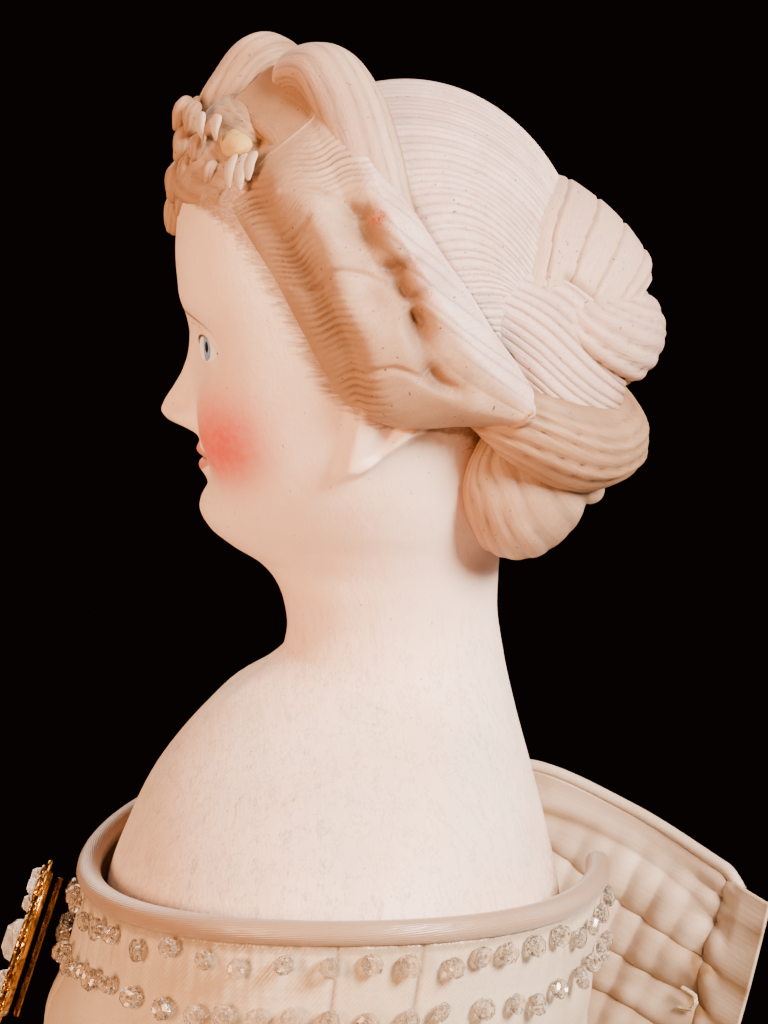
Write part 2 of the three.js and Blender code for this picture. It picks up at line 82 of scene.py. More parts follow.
def path(*points):
    """A smooth curve through points in space, as a function of the share of its length, 0 to 1."""
    points = np.array(points, float)
    gaps = np.linalg.norm(np.diff(points, axis=0), axis=1)
    place = np.concatenate([[0], np.cumsum(gaps)]) / gaps.sum()
    lean = np.gradient(points, place, axis=0)

    def at(t):
        t = np.clip(np.asarray(t, float), 0, 1)
        i = np.clip(np.searchsorted(place, t, side="right") - 1, 0, len(gaps) - 1)
        step = place[i + 1] - place[i]
        u = ((t - place[i]) / step)[..., None]
        step = step[..., None]
        rise = (1 + 2 * u) * (1 - u) ** 2 * points[i] + u * u * (3 - 2 * u) * points[i + 1]
        return rise + step * (u * (1 - u) ** 2 * lean[i] - u * u * (1 - u) * lean[i + 1])

    return at


def wobble(seed, *places):
    """A smooth uneven wave between about -1 and 1 over one or more coordinates."""
    source = np.random.default_rng(seed)
    total = 0
    for octave in range(5):
        ways = source.normal(size=len(places)) * (0.7 + 0.35 * octave)
        total = total + np.sin(sum(w * p for w, p in zip(ways, places)) + source.uniform(0, TAU))
    return total / 3.2


def unit(vectors):
    return vectors / np.maximum(np.linalg.norm(vectors, axis=-1, keepdims=True), 1e-9)


# ---------------------------------------------------------------- meshes


def mesh_object(name, points, faces, finish, body=None, uv=None, fields=None):
    """An object from points in millimetres, with a uv pair and named numbers (fields) for each point."""
    data = bpy.data.meshes.new(name)
    data.from_pydata((np.asarray(points).reshape(-1, 3) * MM).tolist(), [], [list(f) for f in faces])
    if uv is not None:
        layer = data.uv_layers.new(name="UVMap")
        corners = np.zeros(len(data.loops), int)
        data.loops.foreach_get("vertex_index", corners)
        layer.data.foreach_set("uv", np.asarray(uv, float).reshape(-1, 2)[corners].ravel())
    for key, values in (fields or {}).items():
        attribute = data.attributes.new(key, "FLOAT", "POINT")
        attribute.data.foreach_set("value", np.asarray(values, float).ravel())
    data.shade_smooth()
    data.materials.append(finish)
    made = bpy.data.objects.new("doll_" + name, data)
    bpy.context.scene.collection.objects.link(made)
    if body:
        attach(made, body)
    return made


def grid_faces(rows, columns, closed=False, start=0, flip=False):
    """Quads over a grid of points. closed joins the last column to the first."""
    i, j = np.meshgrid(np.arange(rows - 1), np.arange(columns if closed else columns - 1), indexing="ij")
    k = (j + 1) % columns
    quads = np.stack([i * columns + j, i * columns + k, (i + 1) * columns + k, (i + 1) * columns + j], -1)
    quads = quads.reshape(-1, 4) + start
    return (quads[:, ::-1] if flip else quads).tolist()


class Build:
    """Gathers several grids into one mesh."""

    def __init__(self):
        self.points, self.faces, self.uv, self.fields = [], [], [], {}
        self.count = 0

    def grid(self, points, closed=False, flip=False, uv=None, ends=False, skip=None, **fields):
        rows, columns = points.shape[:2]
        quads = grid_faces(rows, columns, closed, self.count, flip)
        if skip is not None:
            hidden = skip.ravel()
            quads = [quad for quad in quads if not all(hidden[k - self.count] for k in quad)]
        self.faces += quads
        if ends:
            first = [self.count + j for j in range(columns)]
            last = [self.count + (rows - 1) * columns + j for j in range(columns)]
            self.faces += [first if flip else first[::-1], last[::-1] if flip else last]
        self.points.append(points.reshape(-1, 3))
        self.uv.append(np.zeros((rows * columns, 2)) if uv is None else uv.reshape(-1, 2))
        for key in set(self.fields) | set(fields):
            value = np.broadcast_to(fields.get(key, 0.0), (rows, columns)).ravel()
            self.fields.setdefault(key, [np.zeros(self.count)] if self.count else []).append(value)
        self.count += rows * columns
        return self

    def cloth(self, points, thick, closed=False, flip=False, skip=None, faced=False, **fields):
        """A sheet with a thickness: its outer face, the same set in, and the edges between them.
        The inner face of a faced sheet is its lining."""
        start, size = len(self.faces), points.shape[0] * points.shape[1]
        inner = points - normals_of(points, closed) * (-thick if flip else thick)
        self.grid(points, closed, flip, skip=skip, lining=0.0, **fields)
        face = self.faces[start:]
        self.grid(inner, closed, not flip, skip=skip, lining=1.0 if faced else 0.0, **fields)
        sides = {(quad[k - 1], quad[k]) for quad in face for k in range(4)}
        self.faces += [[b, a, a + size, b + size] for a, b in sorted(sides) if (b, a) not in sides]
        return self

    def object(self, name, finish, body=None):
        fields = {key: np.concatenate(values) for key, values in self.fields.items()}
        points = np.concatenate(self.points)
        return mesh_object(name, points, self.faces, finish, body, np.concatenate(self.uv), fields)


def normals_of(points, closed=False):
    """The outward direction at each point of a grid, from its neighbours."""
    along = np.gradient(points, axis=0)
    if closed:
        across = np.roll(points, -1, axis=1) - np.roll(points, 1, axis=1)
    else:
        across = np.gradient(points, axis=1)
    return unit(np.cross(across, along))


# ---------------------------------------------------------------- materials


def tone(code):
    """A linear colour from a screen colour such as d9c2a0."""
    parts = [int(code[i : i + 2], 16) / 255 for i in (0, 2, 4)]
    return [p / 12.92 if p <= 0.04045 else ((p + 0.055) / 1.055) ** 2.4 for p in parts] + [1]


class Finish:
    """A node material, built one node at a time."""

    def __init__(self, name, **sockets):
        self.material = bpy.data.materials.new(name)
        self.material.use_nodes = True
        self.tree = self.material.node_tree
        self.tree.nodes.clear()
        self.shader = self.tree.nodes.new("ShaderNodeBsdfPrincipled")
        output = self.tree.nodes.new("ShaderNodeOutputMaterial")
        self.tree.links.new(self.shader.outputs[0], output.inputs[0])
        self.set(**sockets)

    def set(self, **sockets):
        for key, value in sockets.items():
            self.plug(self.shader.inputs[key.replace("_", " ")], value)

    def plug(self, socket, value):
        if isinstance(value, bpy.types.NodeSocket):
            self.tree.links.new(value, socket)
        else:
            socket.default_value = value

    def node(self, kind, sockets=(), out=0, **settings):
        made = self.tree.nodes.new("ShaderNode" + kind)
        for key, value in settings.items():
            setattr(made, key, value)
        for key, value in dict(sockets).items():
            self.plug(made.inputs[key], value)
        return made.outputs[out]

    def place(self, x=1.0, y=1.0, z=1.0):
        """Object coordinates in millimetres, stretched by the given factors."""
        here = self.node("TexCoord", out="Object")
        return self.node("VectorMath", {0: here, 1: (x / MM, y / MM, z / MM)}, operation="MULTIPLY")

    def flat(self, x=1.0, y=1.0):
        """The mesh's own UV, which is in millimetres."""
        here = self.node("TexCoord", out="UV")
        return self.node("VectorMath", {0: here, 1: (x, y, 1.0)}, operation="MULTIPLY")

    def field(self, name):
        return self.node("Attribute", out="Fac", attribute_name=name)

    def math(self, operation, *values):
        return self.node("Math", dict(enumerate(values)), operation=operation)

    def times(self, first, second):
        return self.math("MULTIPLY", first, second)

    def noise(self, place, scale, detail=3.0, roughness=0.5):
        """Noise from 0 to 1 with features of about scale millimetres."""
        settings = {"Vector": place, "Scale": 1 / scale, "Detail": detail, "Roughness": roughness}
        return self.node("TexNoise", settings)

    def between(self, value, low, high, out_low=0.0, out_high=1.0):
        settings = {"Value": value, "From Min": low, "From Max": high, "To Min": out_low, "To Max": out_high}
        return self.node("MapRange", settings, interpolation_type="SMOOTHSTEP")

    def mix(self, factor, first, second):
        return self.node("Mix", {0: factor, 6: first, 7: second}, out=2, data_type="RGBA")

    def raise_by(self, height, distance, strength=1.0, under=None):
        """Bumps the surface by a height in millimetres times distance."""
        sockets = {"Height": height, "Distance": distance * MM, "Strength": strength}
        if under is not None:
            sockets["Normal"] = under
        return self.node("Bump", sockets)


def bare_bisque_finish():
    """Unglazed porcelain as it came from the kiln, a little soiled."""
    f = Finish(
        "bare_bisque", Roughness=0.45, Subsurface_Weight=0.25, Subsurface_Scale=0.004,
        Specular_IOR_Level=0.35
    )
    f.set(Subsurface_Radius=(1.0, 0.45, 0.25))
    here = f.place()
    colour = f.mix(f.between(f.noise(here, 12, 4), 0.35, 0.7), tone("f3dfd0"), tone("e6d0c0"))
    speck = f.between(f.noise(here, 0.7, 1), 0.76, 0.79)
    f.set(Base_Color=f.mix(f.times(speck, 0.5), colour, tone("6b5447")))
    f.set(Normal=f.raise_by(f.noise(here, 0.6, 4), 0.06, 0.5))
    return f.material


def bisque_finish():
    """Unglazed porcelain. A painted feature lies where the mesh's field for it is positive."""
    f = Finish(
        "bisque", Roughness=0.42, Subsurface_Weight=0.25, Subsurface_Scale=0.004, Specular_IOR_Level=0.35
    )
    f.set(Subsurface_Radius=(1.0, 0.45, 0.25))
    here = f.place()
    cloud = f.noise(here, 14, 4)
    colour = f.mix(f.between(cloud, 0.35, 0.7), tone("f7d8c1"), tone("efccb4"))
    cool = f.mix(f.between(f.noise(f.place(1, 1, 0.35), 9, 5), 0.42, 0.75), colour, tone("e7cfbc"))
    colour = f.mix(f.field("plate"), colour, cool)
    veins = f.noise(f.place(1.4, 1.4, 0.3), 5, 6, 0.7)
    vein = f.between(f.math("ABSOLUTE", f.math("SUBTRACT", veins, 0.5)), 0.02, 0.0)
    colour = f.mix(f.times(f.times(vein, 0.5), f.field("plate")), colour, tone("ab998b"))
    runs = f.between(f.noise(f.place(1, 1, 0.1), 2.4, 5, 0.7), 0.56, 0.68)
    runs = f.times(runs, f.between(f.noise(here, 18, 3), 0.4, 0.6))
    colour = f.mix(f.times(f.times(runs, 0.4), f.field("plate")), colour, tone("b9a595"))
    grain = f.noise(here, 1.2, 3)
    rouge = f.times(f.field("blush"), f.between(grain, 0.2, 0.8, 0.86, 1.0))
    colour = f.mix(rouge, colour, tone("d2503c"))
    iris = f.mix(f.between(f.noise(here, 0.5), 0.3, 0.7), tone("5f80b4"), tone("94aed2"))
    colour = f.mix(f.between(f.field("white"), -0.06, 0.06), colour, tone("f5f1ee"))
    colour = f.mix(f.between(f.field("iris"), -0.06, 0.06), colour, iris)
    colour = f.mix(f.between(f.field("pupil"), -0.06, 0.06), colour, tone("0c0a0c"))
    colour = f.mix(f.between(f.field("lash"), -0.08, 0.08), colour, tone("3a211a"))
    colour = f.mix(f.times(f.between(f.field("crease"), -0.1, 0.12), 0.7), colour, tone("b0604a"))
    stroke = f.between(f.noise(f.place(2, 1, 4), 0.8, 2), 0.2, 0.6, 0.75, 1.0)
    brow = f.times(f.between(f.field("brow"), -0.15, 0.12), stroke)
    colour = f.mix(brow, colour, tone("96735a"))
    colour = f.mix(f.times(f.between(f.field("lips"), -0.2, 0.2), 0.8), colour, tone("c05a46"))
    colour = f.mix(f.times(f.between(f.field("mouth"), -0.08, 0.08), 0.8), colour, tone("8e2e28"))
    brush = f.noise(f.place(1, 0.35, 2.2), 1.1, 3, 0.6)
    feather = f.math("ADD", f.field("hair"), f.times(f.math("SUBTRACT", brush, 0.5), 5.0))
    dry = f.between(f.noise(f.place(1, 0.4, 2.6), 0.6, 2), 0.3, 0.65, 0.75, 1.0)
    painted = f.times(f.between(feather, -1.6, 1.4), dry)
    colour = f.mix(painted, colour, f.mix(cloud, tone("9a7556"), tone("ac8568")))
    speck = f.between(f.noise(here, 0.7, 1), 0.76, 0.79)
    colour = f.mix(f.times(speck, 0.55), colour, tone("6b5447"))
    f.set(Base_Color=colour)
    scratch = f.noise(f.place(0.25, 1.6, 0.9), 3, 6, 0.75)
    pores = f.raise_by(f.noise(here, 0.45, 2), 0.05, 0.5)
    scored = f.raise_by(f.times(runs, f.field("plate")), 0.25, 0.6, pores)
    f.set(Normal=f.raise_by(scratch, 0.4, 0.6, scored))
    f.set(Roughness=f.between(scratch, 0.3, 0.75, 0.36, 0.5))
    return f.material


def hair_finish():
    """Matt fired hair paint in pale and tan tones, with a painted highlight on the crests and painted shade
    in the folds.
    """
    f = Finish("painted_hair", Roughness=0.55, Specular_IOR_Level=0.35, Subsurface_Weight=0.08)
    f.set(Subsurface_Radius=(1.0, 0.5, 0.3), Subsurface_Scale=0.002)
    here = f.place()
    cloud = f.noise(here, 7, 5, 0.6)
    patch = f.math("SUBTRACT", cloud, 0.5)
    colour = f.mix(f.between(cloud, 0.35, 0.68), tone("c4a083"), tone("b08b6d"))
    pale = f.mix(f.between(cloud, 0.3, 0.7), tone("e2c6b9"), tone("cfac9c"))
    # The pale and tan fields carry the paint's own tones, and also a painted highlight on crests and painted
    # shade in hollows; depth is painted shade in grooves and folds.
    colour = f.mix(f.between(f.math("ADD", f.field("pale"), patch), 0.05, 0.85), colour, pale)
    tan = f.mix(f.between(cloud, 0.3, 0.7), tone("8f6947"), tone("a37b58"))
    colour = f.mix(f.between(f.math("ADD", f.field("tan"), patch), 0.1, 1.1), colour, tan)
    colour = f.mix(f.times(f.field("depth"), 0.95), colour, tone("684832"))
    strands = f.noise(f.flat(0.3, 2.2), 1.0, 3, 0.6)
    colour = f.mix(f.times(f.between(strands, 0.42, 0.72), 0.22), colour, tone("9c7c62"))
    grain = f.noise(here, 0.4, 2, 0.6)
    colour = f.mix(f.times(f.between(grain, 0.5, 0.75), 0.3), colour, tone("917763"))
    colour = f.mix(f.times(f.field("white"), 0.75), colour, tone("efe4d6"))
    colour = f.mix(f.times(f.field("yellow"), f.between(cloud, 0.2, 0.6, 0.6, 1)), colour, tone("d9b24e"))
    pit = f.between(f.noise(here, 0.6, 1), 0.73, 0.76)
    colour = f.mix(f.times(pit, 0.85), colour, tone("4f3c30"))
    worn = f.times(f.between(f.field("rust"), 0.15, 0.7), f.between(grain, 0.35, 0.6))
    colour = f.mix(worn, colour, tone("a9532b"))
    f.set(Base_Color=colour)
    lumps = f.raise_by(grain, 0.1, 0.5)
    f.set(Normal=f.raise_by(strands, 0.25, 0.5, lumps))
    return f.material


def aged(f, here, colour, stain, amount=0.5):
    """Cloud-shaped yellowing over a cloth."""
    marks = f.between(f.noise(here, 16, 5, 0.65), 0.45, 0.75)
    return f.mix(f.times(marks, amount), colour, stain)


def threads(f, pitch_mm, slant=0.0):
    """The rise and fall of a weave's threads across the cloth's own flat coordinates."""
    flat = f.flat()
    turned = f.node("Mapping", {"Vector": flat, "Rotation": (0, 0, slant), "Scale": (1 / pitch_mm,) * 3})
    settings = {"Vector": turned, "Scale": 1 / math.pi, "Distortion": 0.6, "Detail": 1}
    return f.node("TexWave", settings, out="Fac", wave_type="BANDS")


def silk_finish():
    """Old ivory satin: a diagonal twill, a broad soft gloss, and golden stains. Its lining is dull, with
    stains and painted shade.
    """
    f = Finish("silk", Roughness=0.4, Specular_IOR_Level=0.6, Sheen_Weight=0.25, Sheen_Roughness=0.4)
    here = f.place()
    twill = threads(f, 0.55, 0.7)
    colour = f.mix(f.between(f.noise(f.place(1, 1, 0.5), 22, 4), 0.35, 0.7), tone("dcc6aa"), tone("c9ae8a"))
    colour = aged(f, here, colour, tone("b8935f"), 0.35)
    colour = f.mix(f.times(twill, 0.16), colour, tone("8f7650"))
    grain = f.between(f.noise(here, 0.45, 3, 0.7), 0.42, 0.7)
    colour = f.mix(f.times(grain, 0.3), colour, tone("a98a66"))
    lining = aged(f, here, tone("c6ab90"), tone("9a7853"), 0.65)
    # The stain field darkens the lining with real stains and with painted shade in its hollows.
    lining = f.mix(f.field("stain"), lining, tone("866138"))
    colour = f.mix(f.times(f.field("soil"), 0.9), colour, tone("8f6b50"))
    colour = f.mix(f.field("lining"), colour, lining)
    colour = f.mix(f.times(f.field("seam"), 0.75), colour, tone("6e5433"))
    f.set(Base_Color=colour)
    f.set(Roughness=f.between(f.field("lining"), 0.2, 0.8, 0.34, 0.55))
    slub = f.noise(f.flat(0.15, 2.0), 1.2, 3)
    weave = f.raise_by(f.times(twill, f.between(f.field("lining"), 0, 1, 1.0, 0.15)), 0.05, 0.6)
    f.set(Normal=f.raise_by(slub, 0.12, 0.5, weave))
    return f.material


def woven_finish(name, code, stain, pitch):
    """A plain weave, with threads both ways."""
    f = Finish(name, Roughness=0.9, Sheen_Weight=0.15, Specular_IOR_Level=0.2)
    here = f.place()
    warp, weft = threads(f, pitch), threads(f, pitch, math.pi / 2)
    weave = f.times(warp, weft)
    colour = aged(f, here, tone(code), tone(stain), 0.55)
    colour = f.mix(f.times(weave, 0.2), colour, tone(stain))
    colour = f.mix(f.times(f.field("seam"), 0.7), colour, tone("7b6647"))
    f.set(Base_Color=colour)
    f.set(Normal=f.raise_by(f.noise(here, 5, 3), 0.3, 0.3, f.raise_by(weave, 0.1, 0.7)))
    return f.material


def glass_finish(name, code, gloss, clear):
    """Cut glass with a little dust on it in patches."""
    f = Finish(name, Transmission_Weight=clear, IOR=1.5, Coat_Weight=0.3)
    dust = f.between(f.noise(f.place(), 0.8, 3), 0.45, 0.75)
    f.set(Base_Color=f.mix(f.times(dust, 0.35), tone(code), tone("b9a482")))
    f.set(Roughness=f.between(dust, 0, 1, gloss, 0.35))
    f.set(Normal=f.raise_by(f.noise(f.place(), 1.1, 2), 0.12, 0.4))
    return f.material


def metal_finish(name, code, dark, rough):
    """Worn metal, darkened in patches of tarnish."""
    f = Finish(name, Metallic=1.0)
    tarnish = f.between(f.noise(f.place(), 1.6, 4, 0.6), 0.42, 0.68)
    f.set(Base_Color=f.mix(tarnish, tone(code), tone(dark)))
    f.set(Roughness=f.between(tarnish, 0, 1, rough, rough + 0.3))
    f.set(Normal=f.raise_by(f.noise(f.place(), 0.5, 2), 0.08, 0.5))
    return f.material


def thread_finish():
    """Linen thread, with the twist of its plies."""
    f = Finish("thread", Roughness=0.85, Sheen_Weight=0.2)
    ply = f.noise(f.place(2.5, 1, 1.2), 0.4, 2)
    f.set(Base_Color=f.mix(f.between(ply, 0.35, 0.65), tone("cbb993"), tone("9c8459")))
    f.set(Normal=f.raise_by(ply, 0.15, 0.7))
    return f.material


def boot_finish():
    """Bisque legs with glazed boots painted on, scalloped at the top."""
    f = Finish("painted_boot", Specular_IOR_Level=0.4, Subsurface_Weight=0.1)
    f.set(Subsurface_Radius=(1.0, 0.45, 0.25), Subsurface_Scale=0.003)
    here = f.place()
    height = f.node("SeparateXYZ", {"Vector": here}, out="Z")
    across = f.node("SeparateXYZ", {"Vector": here}, out="X")
    scallop = f.times(f.math("ABSOLUTE", f.math("SINE", f.times(across, 0.55))), 2.4)
    boot = f.between(f.math("SUBTRACT", f.math("ADD", height, scallop), 35.0), 0.25, -0.25)
    cloud = f.noise(here, 10, 4)
    skin = f.mix(f.between(cloud, 0.35, 0.7), tone("f0e2d4"), tone("e4d3c3"))
    leather = f.mix(f.between(cloud, 0.35, 0.7), tone("6d3c2a"), tone("522a1e"))
    f.set(Base_Color=f.mix(boot, skin, leather))
    f.set(Roughness=f.between(boot, 0, 1, 0.45, 0.22))
    f.set(Normal=f.raise_by(f.noise(here, 1.2, 4), 0.06, 0.5))
    return f.material


# ---------------------------------------------------------------- shoulder head: the skin

FRONT = line(
    (401, -41), (409, -40.2), (418, -37), (424.5, -33.8), (430, -29.9), (435, -25.4), (439, -20.6),
    (441.5, -17), (443.8, -14.6), (447, -13.9), (450.5, -14.4), (453.5, -15.6), (456, -17.8),
    (458.5, -21.8), (461, -24.4), (464.5, -25.6), (468, -25.4), (472, -25.8), (476, -26.6), (482, -27.2),
    (487, -27.5), (491.5, -28), (495.5, -28.9), (500.5, -29.3), (505.5, -29), (511, -27), (517, -22),
    (521, -15), (523.5, -4)
)
BACK = line(
    (401, 26.2), (408, 25.4), (417.5, 23.4), (426.5, 21.1), (434.7, 18.9), (443, 17.1), (450, 16.2),
    (455, 16.4), (462, 17), (470, 18), (485, 20), (500, 21), (512, 18), (520, 10), (523.5, 2)
)
HALF = line(
    (401, 46.4), (409, 46.2), (414, 45), (420, 41.2), (427, 34), (433, 26.5), (438, 20), (443, 16.2),
    (449, 14.9), (455, 15.4), (459, 16.8), (463, 19.2), (468, 21.6), (475, 23.6), (484, 24.6), (494, 25),
    (504, 24.4), (513, 20), (519, 13), (523.5, 3)
)
WIDEST = line(
    (401, -7.5), (420, -6), (434, -2), (445, 1), (455, 1), (462, 0), (470, -2), (484, -3), (500, -3),
    (523.5, -2)
)
SQUARE = line(
    (401, 2), (440, 2), (452, 2), (458, 1.72), (464, 1.8), (470, 1.95), (480, 2.15), (492, 2.3),
    (505, 2.3), (523.5, 2)
)
NOSE = line(
    (474, 0), (474.7, 0.5), (475.5, 2.2), (476.6, 4.1), (477.8, 4.8), (479, 4.3), (481, 2.9),
    (483.4, 1.4), (486, 0.5), (489, 0)
)
NOSE_HALF = line((474, 3.3), (477, 3.2), (479, 2.7), (482, 2.0), (486, 1.9), (489, 2.6))
EYE = (10.2, 487.6)
EYE_HALF = 4.1
IRIS_R = 1.75
UPPER_LID, LOWER_LID = 1.95, 1.6
HAIRLINE = line(
    (455, 24), (458, 17.2), (462.5, 15.6), (467.7, 14.2), (473, 12.6), (476.5, 11.4), (478.2, 4.5),
    (479, 0.2), (480.7, -3.9), (482.7, -7.1), (486.8, -9.9), (492.2, -12.6), (497.6, -15.9), (504, -19.9),
    (507.5, -25), (509, -33)
)


def eye_edge(x, lift):
    """Height of an eyelid above the eye's middle at a distance from the nose."""
    share = np.clip(1 - ((x - EYE[0]) / EYE_HALF) ** 2, 0, 1)
    return lift * share**0.62


def skin_relief(x, z):
    """How far the face's features stand forward of its plain oval, in millimetres."""
    side = np.abs(x)
    nose = NOSE(z) * bump(x, 0, NOSE_HALF(z))
    wings = 1.5 * bump(side, 3.3, 1.5) * bump(z, 477.0, 1.5)
    nostril = -0.9 * bump(side, 1.7, 0.8) * bump(z, 475.3, 0.6)
    socket = -2.7 * bump(side, 10.2, 6.4) * bump(z, 487.8, 4.4)
    ball = 1.1 * bump(side, EYE[0], 4.0) * bump(z, EYE[1], 2.5)
    lid_line = EYE[1] + eye_edge(side, UPPER_LID)
    within = smoothstep(EYE_HALF + 0.8, EYE_HALF - 1.2, np.abs(side - EYE[0]))
    lid = 0.4 * bump(z, lid_line + 0.35, 0.45) * within
    under_lid = 0.25 * bump(z, EYE[1] - eye_edge(side, LOWER_LID) - 0.3, 0.45) * within
    brow = 0.5 * bump(side, 9, 7) * bump(z, 493, 2.6)
    cheek = 1.9 * bump(side, 13.5, 6.2) * bump(z, 474.5, 8) - 0.9 * bump(side, 6.4, 2.6) * bump(z, 475.5, 4.5)
    bow = 0.25 * bump(x, 0, 0.7) * bump(z, 473.4, 0.8)
    upper_lip = 0.85 * bump(side, 0, 3.6) * bump(z, 472.3, 0.95) - bow
    lower_lip = 0.85 * bump(side, 0, 3.0) * bump(z, 469.9, 1.1)
    mouth = -0.45 * bump(z, 471.1 + 0.03 * side**1.5, 0.4) * smoothstep(6.2, 4.0, side)
    corner = -0.5 * bump(side, 5.4, 1.3) * bump(z, 471.3, 1.3)
    groove = -0.35 * bump(x, 0, 0.8) * bump(z, 474.0, 0.8)
    chin = 0.8 * bump(side, 0, 5.5) * bump(z, 463.2, 3.4) - 0.5 * bump(side, 0, 5) * bump(z, 467.4, 1.2)
    collar = 1.0 * bump(z, 436 + 0.22 * side, 2.4) * smoothstep(3, 9, side) * smoothstep(30, 20, side)
    notch = -0.9 * bump(x, 0, 4) * bump(z, 439.5, 3.5)
    return (
        nose + wings + nostril + socket + ball + lid + under_lid + brow + cheek + upper_lip + lower_lip
        + mouth + corner + groove + chin + collar + notch
    )


def skin_point(z, turn):
    """The skin at a height and a turn, 0 facing -Y and a quarter turn towards +X. Both are arrays."""
    half, front, back = HALF(z), FRONT(z), BACK(z)
    middle = WIDEST(z)
    power = np.where(np.cos(turn) > 0, SQUARE(z), 2.0)
    across = np.sign(np.sin(turn)) * np.abs(np.sin(turn)) ** (2 / power)
    along = np.abs(np.cos(turn)) ** (2 / power)
    x = half * across
    facing = np.cos(turn) > 0
    y = np.where(facing, middle - (middle - front) * along, middle + (back - middle) * along)
    y = y - np.where(facing, skin_relief(x, z) * smoothstep(0.05, 0.45, along), 0)
    side, ear = np.abs(x), ear_relief(y, z)
    x = np.sign(x) * (side + ear * smoothstep(14, 19, side))
    return np.stack([x, y, z + 0 * x], -1)


def ear_relief(y, z):
    """The ear's lobe below the hair, with a scoop in it and a rim behind."""
    front = y + 5.6 + 0.25 * (478 - z)
    back = 5.2 - y - 1.35 * (478.2 - z)
    lobe = 3.0 * smoothstep(-0.3, 2.2, front) * smoothstep(-0.6, 1.6, back)
    scoop = -1.5 * bump(y + 0.4 - 0.55 * (z - 476), 0, 1.35) * smoothstep(473.6, 475.2, z)
    rim = 0.6 * bump(back, 1.1, 1.0)
    return (lobe + scoop + rim) * smoothstep(471.2, 473, z) * smoothstep(485, 481, z)


def skin_x(y, z):
    """How far out the side of the skin is at a depth and a height."""
    front = y < WIDEST(z)
    depth = np.where(front, WIDEST(z) - FRONT(z), BACK(z) - WIDEST(z))
    power = np.where(front, SQUARE(z), 2.0)
    share = np.clip(np.abs(y - WIDEST(z)) / depth, 0, 1)
    return HALF(z) * (1 - share**power) ** (1 / power)


def skin_fields(points):
    """What is painted where, in millimetres: each field is positive inside its feature."""
    x, y, z = points[..., 0], points[..., 1], points[..., 2]
    side, front = np.abs(x), smoothstep(-12, -16, y)
    away = front - 1
    across, up = side - EYE[0], z - EYE[1]
    upper, lower = eye_edge(side, UPPER_LID), -eye_edge(side, LOWER_LID)
    inside = EYE_HALF - np.abs(across)
    white = np.minimum(np.minimum(upper - up, up - lower), inside) + 9 * away
    iris = np.minimum(white, IRIS_R - np.hypot(across + 0.1, up - 0.2))
    pupil = np.minimum(white, 0.8 - np.hypot(across + 0.1, up - 0.35))
    lash = 0.17 - np.abs(up - upper - 0.05) + np.minimum(inside + 0.3, 0) + 9 * away
    crease_line = 490.9 - 0.036 * (side - 5.8) ** 2
    crease_ends = np.minimum(side - 5.4, 0) + np.minimum(14.4 - side, 0)
    crease = 0.13 - np.abs(z - crease_line) + crease_ends + 9 * away
    brow_line = 492.5 - 0.023 * (side - 4.2) ** 2
    fine = 0.36 * smoothstep(2.2, 4.5, side) * smoothstep(17.5, 7, side)
    brow = fine - np.abs(z - brow_line) + 9 * away - 0.15 * (fine < 0.02)
    bow = 473.5 - 0.09 * side**1.7 + 0.35 * bump(side, 1.6, 1.1)
    lips = np.minimum(bow - z, z - (469.3 + 0.06 * side**1.9)) + np.minimum(4.7 - side, 0) + 9 * away
    mouth = 0.16 - np.abs(z - 471.1 - 0.03 * side**1.5) + np.minimum(4.6 - side, 0) + 9 * away
    reach = np.where(z > 474.8, 11.0, 9.0)
    cheek = np.sqrt(((y + 22.4) / 9.6) ** 2 + ((z - 474.8) / reach) ** 2)
    blush = smoothstep(1.15, 0.1, cheek) * smoothstep(6.5, 12.5, side)
    hair = y - HAIRLINE(z)
    plate = smoothstep(458, 440, z)
    return dict(
        white=white, iris=iris, pupil=pupil, lash=lash, crease=crease, brow=brow, lips=lips, mouth=mouth,
        blush=blush, hair=hair, plate=plate
    )


def skin_heights():
    """Rows close together where the face has its features."""
    plate = np.arange(401, 441, 0.8)
    neck = np.arange(441, 457, 0.55)
    face = np.arange(457, 499, 0.3)
    top = np.linspace(499, 523, 26)
    return np.concatenate([plate, neck, face, top])


def head_skin(finish):
    columns = 380
    even = np.linspace(-math.pi, math.pi, columns, endpoint=False)
    turn = even - 0.42 * np.sin(even)
    z, turn = np.meshgrid(skin_heights(), turn, indexing="ij")
    points = skin_point(z, turn)
    inner_z, inner_turn = np.meshgrid(np.linspace(437, 401, 12), turn[0], indexing="ij")
    inner = skin_point(inner_z, inner_turn)
    wall = 3.0
    inner[..., 0] *= (HALF(inner_z) - wall) / HALF(inner_z)
    inner[..., 1] = (inner[..., 1] + 7) * 0.91 - 7
    fields = skin_fields(points)
    shell = np.concatenate([inner, points])
    blank = {key: np.concatenate([np.full(inner.shape[:2], -9.0), value]) for key, value in fields.items()}
    for key in ("blush", "plate"):
        blank[key] = np.clip(blank[key], 0, 1)
    piece = Build().grid(shell, closed=True, ends=True, **blank).object("head_skin", finish, "torso")
    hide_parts("shoulder_head")
    return piece


# ---------------------------------------------------------------- shoulder head: the moulded hair

CAP_MIDDLE = np.array([0, 3.0, 495.0])
CAP_SIZE = np.array([27.0, 25.6, 29.4])


def on_cap(points, out=0.0):
    """Points moved straight out from the middle of the head on to the hair cap's oval."""
    ray = (points - CAP_MIDDLE) / CAP_SIZE
    reach = CAP_SIZE + np.asarray(out)[..., None]
    return CAP_MIDDLE + ray / np.linalg.norm(ray, axis=-1, keepdims=True) * reach


def strands(place, seed, sharp=0.5, uneven=0.45):
    """Combed locks with narrow grooves between them, 0 at the bottom and 1 on top."""
    source = np.random.default_rng(seed)
    lengths = source.uniform(1 - uneven, 1 + uneven, 400)
    edges = np.concatenate([[-60], np.cumsum(lengths) - 60])
    i = np.clip(np.searchsorted(edges, place) - 1, 0, len(lengths) - 1)
    share = (place - edges[i]) / lengths[i]
    height = 0.6 + 0.4 * source.uniform(0, 1, 400)[i]
    return height * np.abs(np.sin(math.pi * np.clip(share, 0, 1))) ** sharp


